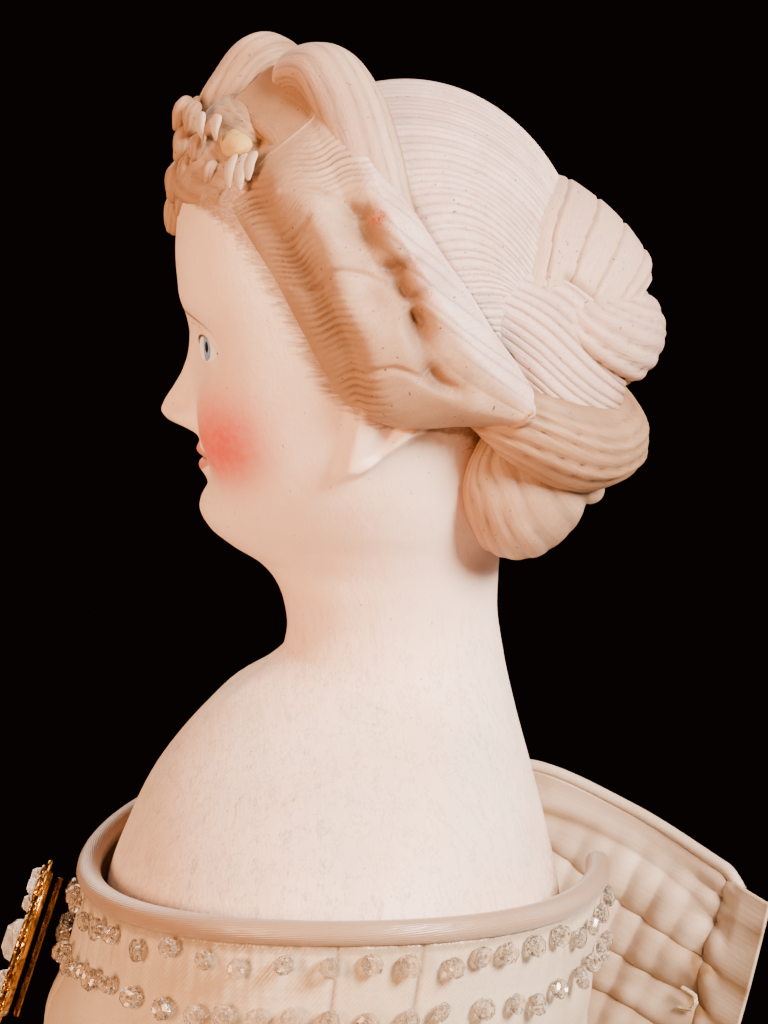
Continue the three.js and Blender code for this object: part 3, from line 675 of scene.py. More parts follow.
def near(y, z, *points):
    """How far each place is from a smooth curve seen from the side, and its share of the curve's length."""
    curve = path(*points)(np.linspace(0, 1, 33))
    place = np.stack([y, z], -1)
    best, share = np.full(y.shape, 1e9), np.zeros(y.shape)
    for i, (start, end) in enumerate(zip(curve, curve[1:])):
        step = end - start
        t = np.clip(((place - start) @ step) / (step @ step), 0, 1)
        gap = np.linalg.norm(place - start - t[..., None] * step, axis=-1)
        share = np.where(gap < best, (i + t) / 32, share)
        best = np.minimum(gap, best)
    return best, share


def stroke(y, z, width, height, *points):
    """A modelled ridge, or a groove where height is negative, that fades at both ends."""
    gap, share = near(y, z, *points)
    return height * bump(gap, 0, width) * np.sin(math.pi * np.clip(share, 0.03, 0.97)) ** 0.4


RIDGE_BACK = (
    (-4, 523.5), (-1.5, 519), (0.5, 515.3), (3, 511.5), (8.3, 504), (15.3, 493), (21.4, 483), (22.5, 479)
)
RIDGE = path(
    (2, -9, 526), (9, -5.5, 524.5), (16, -2.5, 519.5), (21, 0, 514.5), (25, 5, 506), (26.5, 11, 497),
    (25, 17, 488.5), (21, 21, 481)
)
CAP_END = path(
    (0, 27, 510), (6, 26, 509.5), (14, 24.5, 507), (19.5, 22, 501), (21, 22.5, 495), (19.5, 26, 488),
    (17, 28, 482), (14, 29, 478)
)


def cap_side(side):
    """Combed hair from the ridge back to the ribbon and the rolls, on one side."""
    s, u = np.meshgrid(np.linspace(0, 1, 400), np.linspace(0, 1, 80), indexing="ij")
    start, end = RIDGE(s), CAP_END(s)
    start[..., 0] *= smoothstep(-0.06, 0.08, s)
    straight = start * (1 - u[..., None]) + end * u[..., None]
    straight[..., 2] += np.sin(math.pi * u) * (1 - s) * s * 12
    lane = 52 * (s + 0.006 * wobble(5 + side, 3 * u, 7 * s) + 0.012 * np.sin(math.pi * u) * np.sin(5 * s))
    locks = strands(lane, 21 + side, 0.32)
    minor = strands(lane * 2.6 + 0.4 * np.sin(6 * u), 33 + side)
    height = 0.42 * (locks - 0.8) + 0.07 * minor - 0.9 * bump(u, 0.0, 0.05)
    points = on_cap(straight, height)
    points[..., 0] *= side
    # The last value darkens the grooves between the locks as painted shade.
    return points, np.stack([u * 40, s * 62], -1), np.clip(1.1 * (0.75 - locks), 0, 1)


def hair_cap(finish):
    build = Build()
    for _, side in SIDES:
        points, uv, depth = cap_side(side)
        build.grid(points, uv=uv, flip=side < 0, pale=1.0, depth=depth)
    return build.object("hair_cap", finish, "torso")


def front_edge(s):
    """Where the moulded hair starts on the skin, from the parting down and back past the ear."""
    y = line(
        (0, -28.6), (0.1, -26.5), (0.22, -22.5), (0.36, -17), (0.5, -12.5), (0.62, -8.6), (0.7, -5),
        (0.8, 1.5), (0.9, 8.5), (1, 18)
    )(s)
    z = line(
        (0, 508.5), (0.1, 509.5), (0.22, 507), (0.36, 499), (0.5, 491.2), (0.62, 484.8), (0.7, 481.3),
        (0.8, 479.3), (0.9, 480), (1, 479.5)
    )(s)
    y = y + 1.2 * smoothstep(0.75, 0.6, s)
    return np.stack([skin_x(y, z) - 0.35, y, z], -1)


CREST = path(
    (5, -12, 527.5), (10, -8, 526.8), (16, -5, 521.5), (21, -2.8, 516), (25.3, -0.6, 510.5),
    (28.3, 2, 505), (30, 5, 500), (30.3, 9, 494.5), (29, 13, 489), (26.6, 17.5, 484.4),
    (22.5, 21.6, 480.4)
)
BEHIND = path(
    (4, -6, 524.5), (10, -4, 523), (16, -1.5, 518.8), (20, 0.5, 515), (23.5, 4, 509.5), (25.7, 8, 503.5),
    (26.6, 12, 497.5), (25.6, 16, 491), (23.4, 20, 485.5), (19.5, 23.8, 480)
)


def wave_relief(y, z):
    """The waves at the temple as they are seen from the side: troughs, crests and folds between them."""
    relief = stroke(
        y, z, 2.1, 1.3, (-13, 511), (-9, 507), (-6, 502.5), (-4, 495.5), (-1.5, 491.5), (-0.5, 485)
    )
    relief += stroke(
        y, z, 1.7, -1.0, (-17, 509), (-13.5, 504), (-10, 499.5), (-6.3, 493.5), (-4.4, 489), (-3.4, 483)
    )
    valley, along = near(
        y, z, (-6, 511), (-3.5, 507), (-1, 503.5), (1, 501), (3, 497), (4.4, 493), (5.5, 488.5),
        (8.5, 485.2)
    )
    broken = 0.72 + 0.28 * np.cos(TAU * 4.2 * along + 0.6)
    fade = smoothstep(0, 0.2, along) * smoothstep(1, 0.85, along)
    relief += -1.75 * bump(valley, 0, 1.9 - 0.5 * along) * broken * fade
    pits = (
        ((-0.5, 501), (1.5, 501), (3.8, 502)),
        ((1.8, 498.6), (3.6, 497), (5.8, 498)),
        ((3.4, 495.6), (4.6, 494.4), (5.6, 493.6)),
        ((5.6, 487.6), (7, 486.3), (9.4, 485.3)),
        ((-5, 508.8), (-3.5, 508), (-1.5, 508.6)),
    )
    for pit in pits:
        relief += stroke(y, z, 0.8, -1.1, *pit)
    for place in ((1.5, 506.3), (5.6, 500.2), (7.2, 494.6), (10.8, 488.8)):
        relief += 0.8 * bump(np.hypot(y - place[0], z - place[1]), 0, 2.3)
    folds = (
        ((-12, 498), (-8, 498.3), (-6.6, 499.4), (-3.4, 499.8), (0.1, 498.8)),
        ((-5, 487), (-1.6, 487.7), (1.2, 488.2), (6, 486.4)),
        ((-13, 510), (-9, 510), (-6, 509)),
        ((-12.5, 504), (-11, 504.8), (-9, 506.6)),
        ((0, 481.5), (2.5, 480.6), (6, 480.8)),
    )
    for fold in folds:
        relief += stroke(y, z, 0.42, -0.5, *fold)
    edge, _ = near(y, z, *RIDGE_BACK)
    relief += 0.3 * bump(edge, 0, 0.4) - 0.45 * bump(edge, 0.85, 0.32)
    # The second value marks the valley, which the waves paint darker as shade.
    return relief, np.maximum(bump(valley, 0, 2.4) * smoothstep(0, 0.15, along), 0)


def waves(side):
    """The front hair on one side: waves combed back from the face to a raised crest, then down behind it."""
    s, u = np.meshgrid(np.linspace(0, 1, 460), np.linspace(0, 1.35, 130), indexing="ij")
    face, crest, behind = front_edge(s), CREST(s), BEHIND(s)
    rise, fall = np.clip(u, 0, 1)[..., None], np.clip((u - 1) / 0.35, 0, 1)[..., None]
    points = face * (1 - rise) + crest * rise
    proud = crest[..., 0] - skin_x(crest[..., 1], crest[..., 2])
    spare = proud * rise[..., 0] ** 0.8 - 0.35 * (1 - rise[..., 0])
    clear = skin_x(points[..., 1], points[..., 2]) + spare - points[..., 0]
    points[..., 0] += np.maximum(clear, 0) * smoothstep(0.12, 0.3, s)
    points = points * (1 - fall) + behind * fall
    y, z = points[..., 1], points[..., 2]
    outward = unit(points - np.array([0, 2, 492.0]))
    belly = (1.5 + 2.0 * smoothstep(0.5, 0.8, s)) * smoothstep(0.12, 0.34, s)
    swell = smoothstep(0, 0.4 - 0.26 * smoothstep(0.6, 0.75, s), u) * smoothstep(1.08, 0.5, u) * belly
    swell += 1.2 * np.sin(math.pi * np.clip((u - 0.75) / 0.6, 0, 1)) * smoothstep(0.05, 0.2, s)
    swell -= 1.4 * smoothstep(1.18, 1.35, u)
    inside = smoothstep(0.02, 0.14, u) * smoothstep(1.34, 1.2, u)
    drawn, hollow = wave_relief(y, z)
    trough, share = near(
        y, z, (-19, 508.5), (-15, 504.5), (-11, 499.5), (-7, 493.5), (-4.6, 488.5), (-3.2, 483.5)
    )
    top_patch = bump(np.hypot((y + 6.5) / 5, (z - 513.5) / 3.2), 0, 1)
    combed = bump(trough, 0, 3.3) * (0.72 + 0.4 * np.cos(TAU * 3.1 * share)) + top_patch
    combed = np.clip(combed, 0, 1) * inside
    comb = strands((z - 490 - 0.3 * y + 0.35 * np.sin(0.9 * y + 0.3 * z)) / 0.95, 41 + side, 0.5, 0.25)
    slant = strands((z + 0.75 * y) / 1.75, 47, 0.35)
    slanted = smoothstep(0.8, 0.98, u) * smoothstep(1.33, 1.15, u)
    slanted = slanted * smoothstep(0.36, 0.5, s) * smoothstep(0.97, 0.85, s)
    relief = drawn * inside + 0.55 * (comb - 0.75) * combed + 0.3 * (slant - 0.8) * slanted
    relief += 0.3 * wobble(8, 9 * s, 5 * u) * inside
    points = points + outward * (swell + relief)[..., None]
    shown = skin_x(points[..., 1], points[..., 2]) + 0.3 * smoothstep(0.015, 0.09, u) - 0.35
    shown += 0.2 * comb * combed - 9 * smoothstep(507.5, 514, points[..., 2])
    points[..., 0] = np.where(u < 0.6, np.maximum(points[..., 0], shown), points[..., 0])
    points[..., 0] *= side
    # Tan near the face is the hair paint. Tan on the valley and depth in the combed grooves and carved folds
    # are painted shade, and pale on the crest is a painted highlight.
    tan = 0.25 + 0.75 * smoothstep(0.7, 0.25, u) + 0.8 * hollow
    grooves = 2.1 * (0.72 - comb) * combed + 1.1 * (0.75 - slant) * slanted
    depth = np.clip(grooves, 0, 1) + 0.6 * np.clip(-drawn - 0.35, 0, 1.2)
    rust = bump(y, -0.8, 1.3) * bump(z, 507, 1.0) * (side > 0)
    pale = smoothstep(0.86, 1.02, u) * smoothstep(0.1, 0.3, s)
    fields = dict(tan=tan * (1 - pale), depth=np.clip(depth, 0, 1), rust=rust, pale=pale)
    return points, np.stack([u * 26, s * 86], -1), fields


def hair_waves(finish):
    for name, side in SIDES:
        points, uv, fields = waves(side)
        piece = Build().grid(points, uv=uv, flip=side > 0, **fields)
        piece = piece.object("hair_waves_" + name, finish, "torso")


def lock(
    build, route, width, thick, middle, grooves=0, cut=0.0, twist=0.0, seed=1, rows=150, columns=90,
    box=1.0, dirt_and_shade=0.0, **fields
):
    """One rounded lock along a path, with combed strands along it. middle is the point it turns its back to.
    A box under 1 squares its section, and its lower sides are darkened for dirt and painted shade in its
    folds."""
    t = np.linspace(0, 1, rows)
    spine = path(*route)(t)
    along = unit(np.gradient(spine, axis=0))
    outward = spine - np.asarray(middle, float)
    outward = unit(outward - along * (outward * along).sum(-1, keepdims=True))
    across = np.cross(along, outward)
    turn = np.linspace(0, TAU, columns, endpoint=False)
    t, turn = np.meshgrid(t, turn, indexing="ij")
    comb = 0.8 + 0 * t
    if grooves:
        drift = wobble(seed, 4 * t, 2 * np.cos(turn), 2 * np.sin(turn))
        lane = grooves * (turn + twist * t) / TAU + 0.2 * drift
        comb = strands(lane, seed + 60, 0.35)
    swell = 1 + 0.04 * wobble(seed + 1, 6 * t, np.cos(turn), np.sin(turn))
    w = (width(t) * swell + cut * (comb - 0.8))[..., None]
    d = (thick(t) * swell + cut * (comb - 0.8))[..., None]
    side_on, face_on = (np.sign(v) * np.abs(v) ** box for v in (np.cos(turn), np.sin(turn)))
    sideways = across[:, None] * w * side_on[..., None]
    points = spine[:, None] + sideways + outward[:, None] * d * face_on[..., None]
    uv = np.stack([t * 40, turn / TAU * 30], -1)
    # The lower sides, where the lock turns in to what lies under it, are darkened for dirt and painted shade;
    # depth darkens the grooves between strands as painted shade.
    fold = dirt_and_shade * smoothstep(0.85, 0.1, np.sin(turn))
    fields["tan"] = fields.get("tan", 0.0) + fold
    fields["pale"] = fields.get("pale", 0.0) * (1 - fold)
    fields["depth"] = np.clip(1.1 * (0.72 - comb) * (grooves > 0) + 0.25 * fold, 0, 1)
    build.grid(points, closed=True, ends=True, uv=uv, **fields)
    return points


def rounded(full, ends=0.3):
    """A thickness that closes up roundly at both ends."""
    return line(
        (0, ends * full), (0.05, 0.55 * full), (0.15, 0.85 * full), (0.3, full), (0.7, full),
        (0.85, 0.85 * full), (0.95, 0.55 * full), (1, ends * full)
    )


def taper(start, middle, end):
    """A thickness that changes along a lock and closes up roundly at both ends."""
    return line(
        (0, 0.1 * start), (0.04, 0.6 * start), (0.12, start), (0.5, middle), (0.9, end),
        (0.97, 0.6 * end), (1, 0.1 * end)
    )


def hair_rolls(finish):
    """The two rolls over the forehead, and the knot of coiled rolls at the back."""
    build = Build()
    crown, knot = (0, 0, 500), (0, 10, 484)
    near_roll = [
        (2.5, -14.2, 522.6), (6, -11.9, 525.8), (9.6, -8.8, 526.2), (14.8, -4.8, 521.4),
        (19.8, -2.2, 515.2), (23, 0.2, 508.6), (24, 3, 503)
    ]
    far_roll = [
        (-5, -25.5, 516.5), (-7, -21.8, 522.2), (-8.8, -17.3, 526.6), (-11.5, -13.4, 523.6),
        (-16, -9.5, 517.4), (-21, -5, 511.5)
    ]
    lock(
        build, near_roll, taper(3.8, 5.0, 3.6), taper(3.2, 3.8, 1.8), crown, 15, cut=0.1, twist=0.5,
        seed=2, dirt_and_shade=0.6, pale=0.35, tan=0.1
    )
    lock(
        build, far_roll, taper(3.4, 4.4, 3.0), taper(3.2, 4.0, 2.4), crown, 13, cut=0.16, twist=-1.2,
        seed=3, dirt_and_shade=0.6, pale=0.2, tan=0.25
    )
    # Half a coil's path from its side to the middle, its width and thickness, its strands with their depth
    # and twist, its pale and tan tints and the darkening for dirt and painted shade in its folds.
    coils = (
        (
            [(8, 20, 494), (14, 26, 490.5), (11.5, 29.6, 489.2), (6, 31.4, 489), (0, 31.8, 489)],
            7.3, 8.2, 19, 0.95, 2.2, 0.4, 0.15, 0.6
        ),
        (
            [(14, 12, 482), (20, 19, 479.5), (17, 24.5, 476.5), (9, 28.6, 475.3), (0, 29.6, 475)],
            7.2, 8.0, 19, 0.95, -2.0, 0.0, 1.05, 0.7
        ),
        (
            [(6, 14, 473), (13, 17.6, 471), (13.5, 19.6, 468.6), (8, 20.6, 467.2), (0, 20.8, 467)],
            9.8, 7.8, 17, 0.5, 1.6, 0.0, 0.65, 0.35
        )
    )
    for k, (half, width, thick, grooves, cut, twist, pale, tan, dirt_and_shade) in enumerate(coils):
        route = half + [(-x, y, z) for x, y, z in half[-2::-1]]
        middle = (0, 4, 478) if k == 2 else knot
        lock(
            build, route, rounded(width), rounded(thick), middle, grooves, cut, twist, 4 + k, 230, 90,
            dirt_and_shade=dirt_and_shade, pale=pale, tan=tan
        )
    lock(
        build, [(4, 27, 466.8), (2, 29.6, 466.3), (-2, 28.6, 467)], rounded(1.8), rounded(1.6), knot,
        seed=7, rows=24, columns=24
    )
    return build.object("hair_rolls", finish, "torso")


def hair_fall(finish):
    """Combed locks that run down from the cap and over the ends of the rolls, on both sides."""
    build = Build()
    start = path((19, 21, 501), (23.5, 15.5, 496), (24.6, 16, 489), (23.5, 18.5, 482.5))
    end = path((12, 33, 488.5), (13.2, 34.3, 483), (14.8, 32.6, 477.5), (15.5, 28.5, 472.5))
    s, u = np.meshgrid(np.linspace(0, 1, 200), np.linspace(0, 1, 90), indexing="ij")
    for _, side in SIDES:
        share = smoothstep(0, 0.3, u)[..., None]
        straight = start(s) * (1 - u[..., None]) + end(s) * u[..., None]
        points = on_cap(straight, -0.5 + 0 * u) * (1 - share) + straight * share
        outward = unit(points - np.array([0, 8, 486.0]))
        locks = strands(15 * (s + 0.05 * np.sin(5 * u + 3 * s)), 61 + side, 0.35)
        arch = 3.2 * np.sin(math.pi * u) ** 0.9 - 2.0 * smoothstep(0.9, 1, u)
        tuck = -1.6 * smoothstep(0.06, 0, s) - 2.2 * smoothstep(0.92, 1, s)
        points = points + outward * (arch + tuck + 0.6 * (locks - 0.8) * smoothstep(0, 0.12, u))[..., None]
        points[..., 0] *= side
        # Painted shade: depth and tan darken the grooves and the ends that run in under the rolls, and pale
        # fades towards those ends.
        depth = np.clip(1.2 * (0.72 - locks), 0, 1) + 0.5 * smoothstep(0.75, 1, u)
        tan = 0.5 * smoothstep(0.6, 1, u) + 0.3 * smoothstep(0.6, 1, s)
        build.grid(
            points, uv=np.stack([u * 24, s * 26], -1), flip=side < 0, depth=depth, pale=0.8 - 0.5 * u,
            tan=tan
        )
    return build.object("hair_fall", finish, "torso")


RIBBON_FRONT = path((21, 20, 496), (20.6, 22.4, 500), (17.5, 24.6, 506.5), (9, 26.2, 510.2), (0, 26.8, 511.2))
RIBBON_BACK = path((15.5, 28.5, 488), (16.5, 30.6, 492), (13.5, 34, 495.5), (7, 36.6, 498), (0, 37.2, 498.6))


def hair_ribbon(finish):
    """The moulded ribbon round the knot: flat pleats that overlap towards the back."""
    half, v = np.meshgrid(np.linspace(-1, 1, 220), np.linspace(-0.12, 1.1, 110), indexing="ij")
    reach = 1 - np.abs(half)
    inner, outer = on_cap(RIBBON_FRONT(reach), 0.25 + 0 * reach), RIBBON_BACK(reach)
    points = inner * (1 - v[..., None]) + outer * v[..., None]
    points[..., 0] *= np.sign(half)
    outward = unit(points - np.array([0, 8, 490.0]))
    pleat = np.mod(v * 3.6 - 0.25 * (1 - reach), 1.0)
    step = 0.9 * (1 - smoothstep(0, 0.16, pleat)) + 0.15 * pleat
    box = bump(reach, 0.18, 0.03) * smoothstep(0.2, 0.3, v) * smoothstep(0.75, 0.6, v)
    lift = 0.9 * smoothstep(-0.12, 0.02, v) - 0.3 - 1.5 * smoothstep(0.95, 1.1, v)
    lift = lift + 1.2 * np.sin(math.pi * np.clip(v, 0, 1))
    points = points + outward * (lift + 0.3 - 0.75 * step - 0.5 * box)[..., None]
    # Painted shade: depth darkens the pleat edges, where one pleat runs under the next, and the box fold.
    depth = 0.7 * (1 - smoothstep(0, 0.12, pleat)) + 0.6 * box
    piece = Build().grid(points, uv=np.stack([half * 30, v * 17], -1), depth=depth, pale=0.35, flip=True)
    return piece.object("hair_ribbon", finish, "torso")


def teardrop(radius):
    """A thickness that is full near the start and thin at the tip."""
    return line(
        (0, 0.4 * radius), (0.06, 0.8 * radius), (0.3, 1.1 * radius), (0.6, radius), (0.9, 0.5 * radius),
        (1, 0.2 * radius)
    )


def beside(y, z, lift):
    """A point standing off the side of the head by lift."""
    return float(skin_x(np.array(y, float), np.array(z, float))) + lift, y, z


def hair_flowers(finish):
    """The band laid across the parting, and the moulded flowers and curls over the forehead."""
    build = Build()
    face = (0, 6, 494)
    for middle_z, reach, depth, full in ((513.0, 15, -26.6, 5.4), (519.0, 12, -23.4, 4.4)):
        steps = (-1, -0.7, -0.35, 0, 0.35, 0.7, 1)
        route = [(x * reach, depth + 7 * abs(x) ** 2.4, middle_z - 2.6 * x * x) for x in steps]
        lock(
            build, route, rounded(full), rounded(0.42 * full), face, 13, cut=0.35, twist=2, seed=9,
            rows=110, columns=54, tan=0.6, dirt_and_shade=0.3
        )
    for side in (1, -1):
        route = [
            (side * 3, -17.8, 522.8), (side * 8, -15.0, 520.8), (side * 13.5, -11.6, 517.9),
            (side * 19.6, -8.0, 513.6), (side * 23.4, -5.4, 508.4)
        ]
        # tan=1.25 darkens the band, for its tan paint and for painted shade.
        lock(
            build, route, line((0, 4.2), (0.75, 4.2), (1, 3.0)), line((0, 1.7), (0.7, 1.9), (1, 0.7)),
            face, seed=8, rows=70, columns=64, box=0.3, tan=1.25
        )
        curls = (
            (2.6, -27.6, 515.6, 2.3), (6.4, -26.9, 512.3, 1.9), (2.8, -28.7, 510.4, 2.4),
            (8.2, -25.8, 509.2, 1.7), (0.9, -29.0, 505.9, 2.4), (11.6, -24.0, 508.6, 1.6),
            (5.2, -26.2, 519.4, 2.0), (4.4, -27.8, 507.4, 1.6), (8.4, -25.4, 515.4, 1.7),
            (1.4, -27.8, 519.6, 2.1), (14.6, -21.6, 508.6, 1.5), (11.8, -23.6, 512.2, 1.6)
        )
        for x, y, z, size in curls:
            hook = [
                (side * x, y + 0.6, z + size), (side * (x + 0.8), y - 0.4, z + 0.3 * size),
                (side * (x + 0.3), y - 0.3, z - 0.6 * size), (side * (x - 0.8), y, z - 0.5 * size)
            ]
            lock(
                build, hook, rounded(size * 0.8), rounded(size * 0.6), face, 6, cut=0.35,
                seed=int(90 + 10 * x), rows=30, columns=30, tan=0.5, dirt_and_shade=0.5
            )
        petals = (
            ((10.4, -25.0, 520.4), (10.8, -24.8, 516.6), 0.95),
            ((12.2, -22.6, 520.2), (12.2, -23.0, 516.6), 0.95),
            (beside(-20.4, 514.8, 3.0), beside(-20.9, 510.6, 2.4), 0.75),
            (beside(-19.0, 515.0, 3.2), beside(-19.4, 510.4, 2.5), 0.8),
            (beside(-17.6, 515.4, 3.8), beside(-18.2, 511.8, 2.9), 0.75),
        )
        for top, tip, size in petals:
            top, tip = np.array(top) * (side, 1, 1), np.array(tip) * (side, 1, 1)
            swell = (top + tip) / 2 + (side * 0.35, -0.3, 0)
            lock(
                build, [top, swell, tip], teardrop(size * 1.35), teardrop(size * 0.5), face, seed=70,
                rows=24, columns=20, white=0.36
            )
        middle = beside(-21.4, 516.9, 3.2), beside(-19.7, 516.0, 3.3), beside(-18.2, 516.3, 3.6)
        heart = [np.array(point) * (side, 1, 1) for point in middle]
        lock(
            build, heart, rounded(1.9), rounded(1.5), face, 5, cut=0.25, seed=71, rows=24, columns=24,
            yellow=0.7, tan=0.3
        )
    piece = build.object("hair_flowers", finish, "torso")
    return piece


# ---------------------------------------------------------------- the gown


def oval_rows(*rows):
    """An upright column with an oval section. A row is a height, half width, front y and back y.
    A turn starts at the doll's left and goes by way of its back."""
    heights = [row[0] for row in rows]
    half, front, back = (line(*zip(heights, [row[k] for row in rows])) for k in (1, 2, 3))

    def at(turn, z, out=0.0):
        middle, deep = (front(z) + back(z)) / 2, (back(z) - front(z)) / 2
        across, along = (half(z) + out) * np.cos(turn), middle + (deep + out) * np.sin(turn)
        return np.stack([across, along, z + 0 * turn], -1)

    return at


def turn_gap(turn, place):
    """How far a turn is from another one, the short way round, in radians."""
    return np.abs(np.angle(np.exp(1j * (turn - place))))


def round_grid(low, high, rows, columns):
    """Rows of heights and columns of turns once round, as two arrays."""
    turns = np.linspace(0, TAU, columns, endpoint=False)
    return np.meshgrid(np.linspace(low, high, rows), turns, indexing="ij")


WAIST, NECKLINE, NECKLINE_LIFT, SHOULDER_HALF = 330, 409.5, 3.7, 48.6
SILK = 1.2
BODICE = oval_rows(
    (330, 29, -27, 22), (340, 31, -32, 23), (352, 35, -40, 25), (366, 40, -47, 27.5), (380, 44, -51, 29),
    (392, 46.8, -48.8, 30.2), (402, 48.2, -45.2, 31), (409.5, 48.6, -43.6, 31.5), (413, 48.6, -43.2, 31.6),
)
SEAM = math.radians(153)
SHUT = math.radians(90.9)
FRONT_END = math.radians(449.1)
PANEL_OPEN = math.radians(50)
SHOULDER = np.array([57, -3, 384.0])
PIPING_R = 1.75
ARMHOLE_R = 9.6
LIFT_START = 385
PANEL_FOOT = 339
BEAD_RING = 42
HINGE_LOW, HINGE_HIGH = np.array([-25.84, 8.62, 330.0]), np.array([-43.3, 11.0, 409.5])


def lifted(points):
    """The neckline runs higher over the shoulders."""
    share = np.clip((points[..., 2] - LIFT_START) / (NECKLINE - LIFT_START), 0, 1.05)
    points = points.copy()
    points[..., 2] += NECKLINE_LIFT * share * (points[..., 0] / SHOULDER_HALF) ** 2
    return points


def swung_open(points):
    """Turns the unfastened half of the back about its seam at the doll's right side."""
    axis = unit(HINGE_HIGH - HINGE_LOW)
    arm = points - HINGE_LOW
    cos, sin = math.cos(PANEL_OPEN), math.sin(PANEL_OPEN)
    dot = (arm @ axis)[..., None] * axis
    return HINGE_LOW + arm * cos + np.cross(axis, arm) * sin + dot * (1 - cos)


def seams(turn, z):
    """How close a place on the bodice is to one of its sewn seams, 0 to 1."""
    total = 0
    for place in (0, 14, 166, 180, 262, 278):
        lean = 0.0 if place in (0, 180) else 0.0016 * (z - 370)
        total = total + bump(turn_gap(turn, math.radians(place) + lean) * 40, 0, 0.35)
    return np.clip(total, 0, 1)


def bodice_point(turn, z, out=0.0):
    """A place on the bodice, by its turn and its height before the neckline is lifted."""
    return lifted(BODICE(turn, z, out))


def gown_wrinkles(turn, z):
    """Soft folds drawn in at the waist, and puckers under the piping."""
    pleats = np.sin(26 * turn + 1.3 * np.sin(3 * turn)) * smoothstep(356, 334, z) * 0.55
    loose = 0.5 * wobble(14, 5 * turn, z / 9) * smoothstep(408, 396, z)
    pucker = 0.22 * wobble(15, 34 * turn, z / 4) * smoothstep(398, 407, z)
    return pleats + loose + pucker


def bodice_front(finish):
    heights = np.concatenate([np.linspace(WAIST + 0.5, 396, 50), np.linspace(397, NECKLINE + 0.4, 32)])
    z, turn = np.meshgrid(heights, np.linspace(SEAM, FRONT_END, 520), indexing="ij")
    seam = seams(turn, z)
    points = bodice_point(turn, z, gown_wrinkles(turn, z) - 0.45 * seam)
    gap = np.hypot(points[..., 1] - SHOULDER[1], points[..., 2] - SHOULDER[2])
    hole = (gap < ARMHOLE_R) & (np.abs(points[..., 0]) > 30)
    push = np.where(hole, ARMHOLE_R / np.maximum(gap, 0.1), 1)[..., None]
    hub = np.stack([points[..., 0], 0 * z + SHOULDER[1], 0 * z + SHOULDER[2]], -1)
    points = hub + (points - hub) * np.where(push > 8, 1, push)
    # The seam field also darkens a narrow band just under the piping.
    under = 0.7 * smoothstep(NECKLINE - 1.1, NECKLINE - 0.2, z)
    piece = Build().cloth(
        points, SILK, uv=np.stack([turn * 44, z], -1), seam=np.maximum(seam, under), skip=hole
    )
    piece = piece.object("bodice_front", finish, "torso")
    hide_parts("bodice_front", "bodice_back_left")


PANEL_SAG = line((0, 0), (0.3, 4.1), (0.6, 1.9), (1, -3.7), (1.1, -4.8))
PANEL_LAP = math.radians(7.5)


def panel_point(turn, z, out=0.0):
    """The open half hangs from its seam in a slack wave."""
    points = swung_open(bodice_point(turn, z, out))
    points[..., 2] += PANEL_SAG((SEAM - turn) / (SEAM - SHUT)) * smoothstep(345, 400, z)
    return points


def bodice_panel(finish):
    """The open half of the back: pieced satin with a faced top edge, its dull lining turned to the light."""
    heights = np.linspace(PANEL_FOOT, NECKLINE + 0.4, 180)
    z, turn = np.meshgrid(heights, np.linspace(SHUT - PANEL_LAP, SEAM - 0.01, 190), indexing="ij")
    u = (SEAM - turn) / (SEAM - SHUT)
    down = NECKLINE - z
    gather = (u - 0.95) * 48 + 0.8 * np.sin(down / 7)
    facing = 4.9 + 0.5 * np.sin(9 * u)
    lines = [facing] + [at + 5 * u + 0.8 * np.sin(7 * u + at) for at in (9, 16.5, 24, 33)]
    pieced = sum(bump(down - at, 0, 0.55) for at in lines[1:])
    sewn = bump(gather, 0, 0.7)
    hollow = np.clip(sum(bump(down - at, 0, 1.3) for at in lines) + bump(gather, 0, 1.8), 0, 1)
    stitches = 0.5 + 0.5 * np.sign(np.sin(z * 2.2 + u * 90))
    puckers = 0.4 * np.sin(down * 1.05 + 4 * np.sin(down / 9)) * bump(gather, 0, 4.5)
    creases = 0.6 * wobble(21, 4 * u + z / 14, 16 * u - z / 6)
    puffs = 0.9 * wobble(17, 6 * u, z / 7) + 0.45 * wobble(18, 15 * u, z / 4) + creases + 0.5 * (0.5 - hollow)
    seam = np.clip(0.45 * (bump(down, facing, 0.4) + pieced) + 0.8 * sewn * stitches, 0, 1)
    under = smoothstep(SHUT + 0.05, SHUT - 0.03, turn)
    out = (-puffs * smoothstep(1, 8, down) - puckers + 0.4 * (pieced + sewn)) * (1 - under) - 1.5 * under
    # stain: real stains in patches and along the top rows, plus painted shade in the seam hollows and towards
    # the hinge seam, where the body shades the lining. It is also a little darker along the top edge.
    rows = np.clip(sum(bump(down - at, 0, 2.2) for at in lines[:3]), 0, 1) * smoothstep(0.45, 0.8, u)
    patchy = np.clip(0.6 + 0.9 * wobble(19, 9 * u, z / 8), 0, 1)
    stain = np.maximum(hollow, 0.8 * rows) * patchy * smoothstep(1, 4, down)
    stain = np.maximum(stain, 0.5 * smoothstep(0.5, 0.1, u) + 0.25 * smoothstep(3, 0, down))
    thick = (SILK - 0.7 * under)[..., None]
    fields = dict(uv=np.stack([turn * 44, z], -1), seam=seam, stain=stain)
    piece = Build().cloth(panel_point(turn, z, out), thick, faced=True, **fields)
    piece = piece.object("bodice_back_right", finish, "back_panel")
    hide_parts("bodice_back_right")


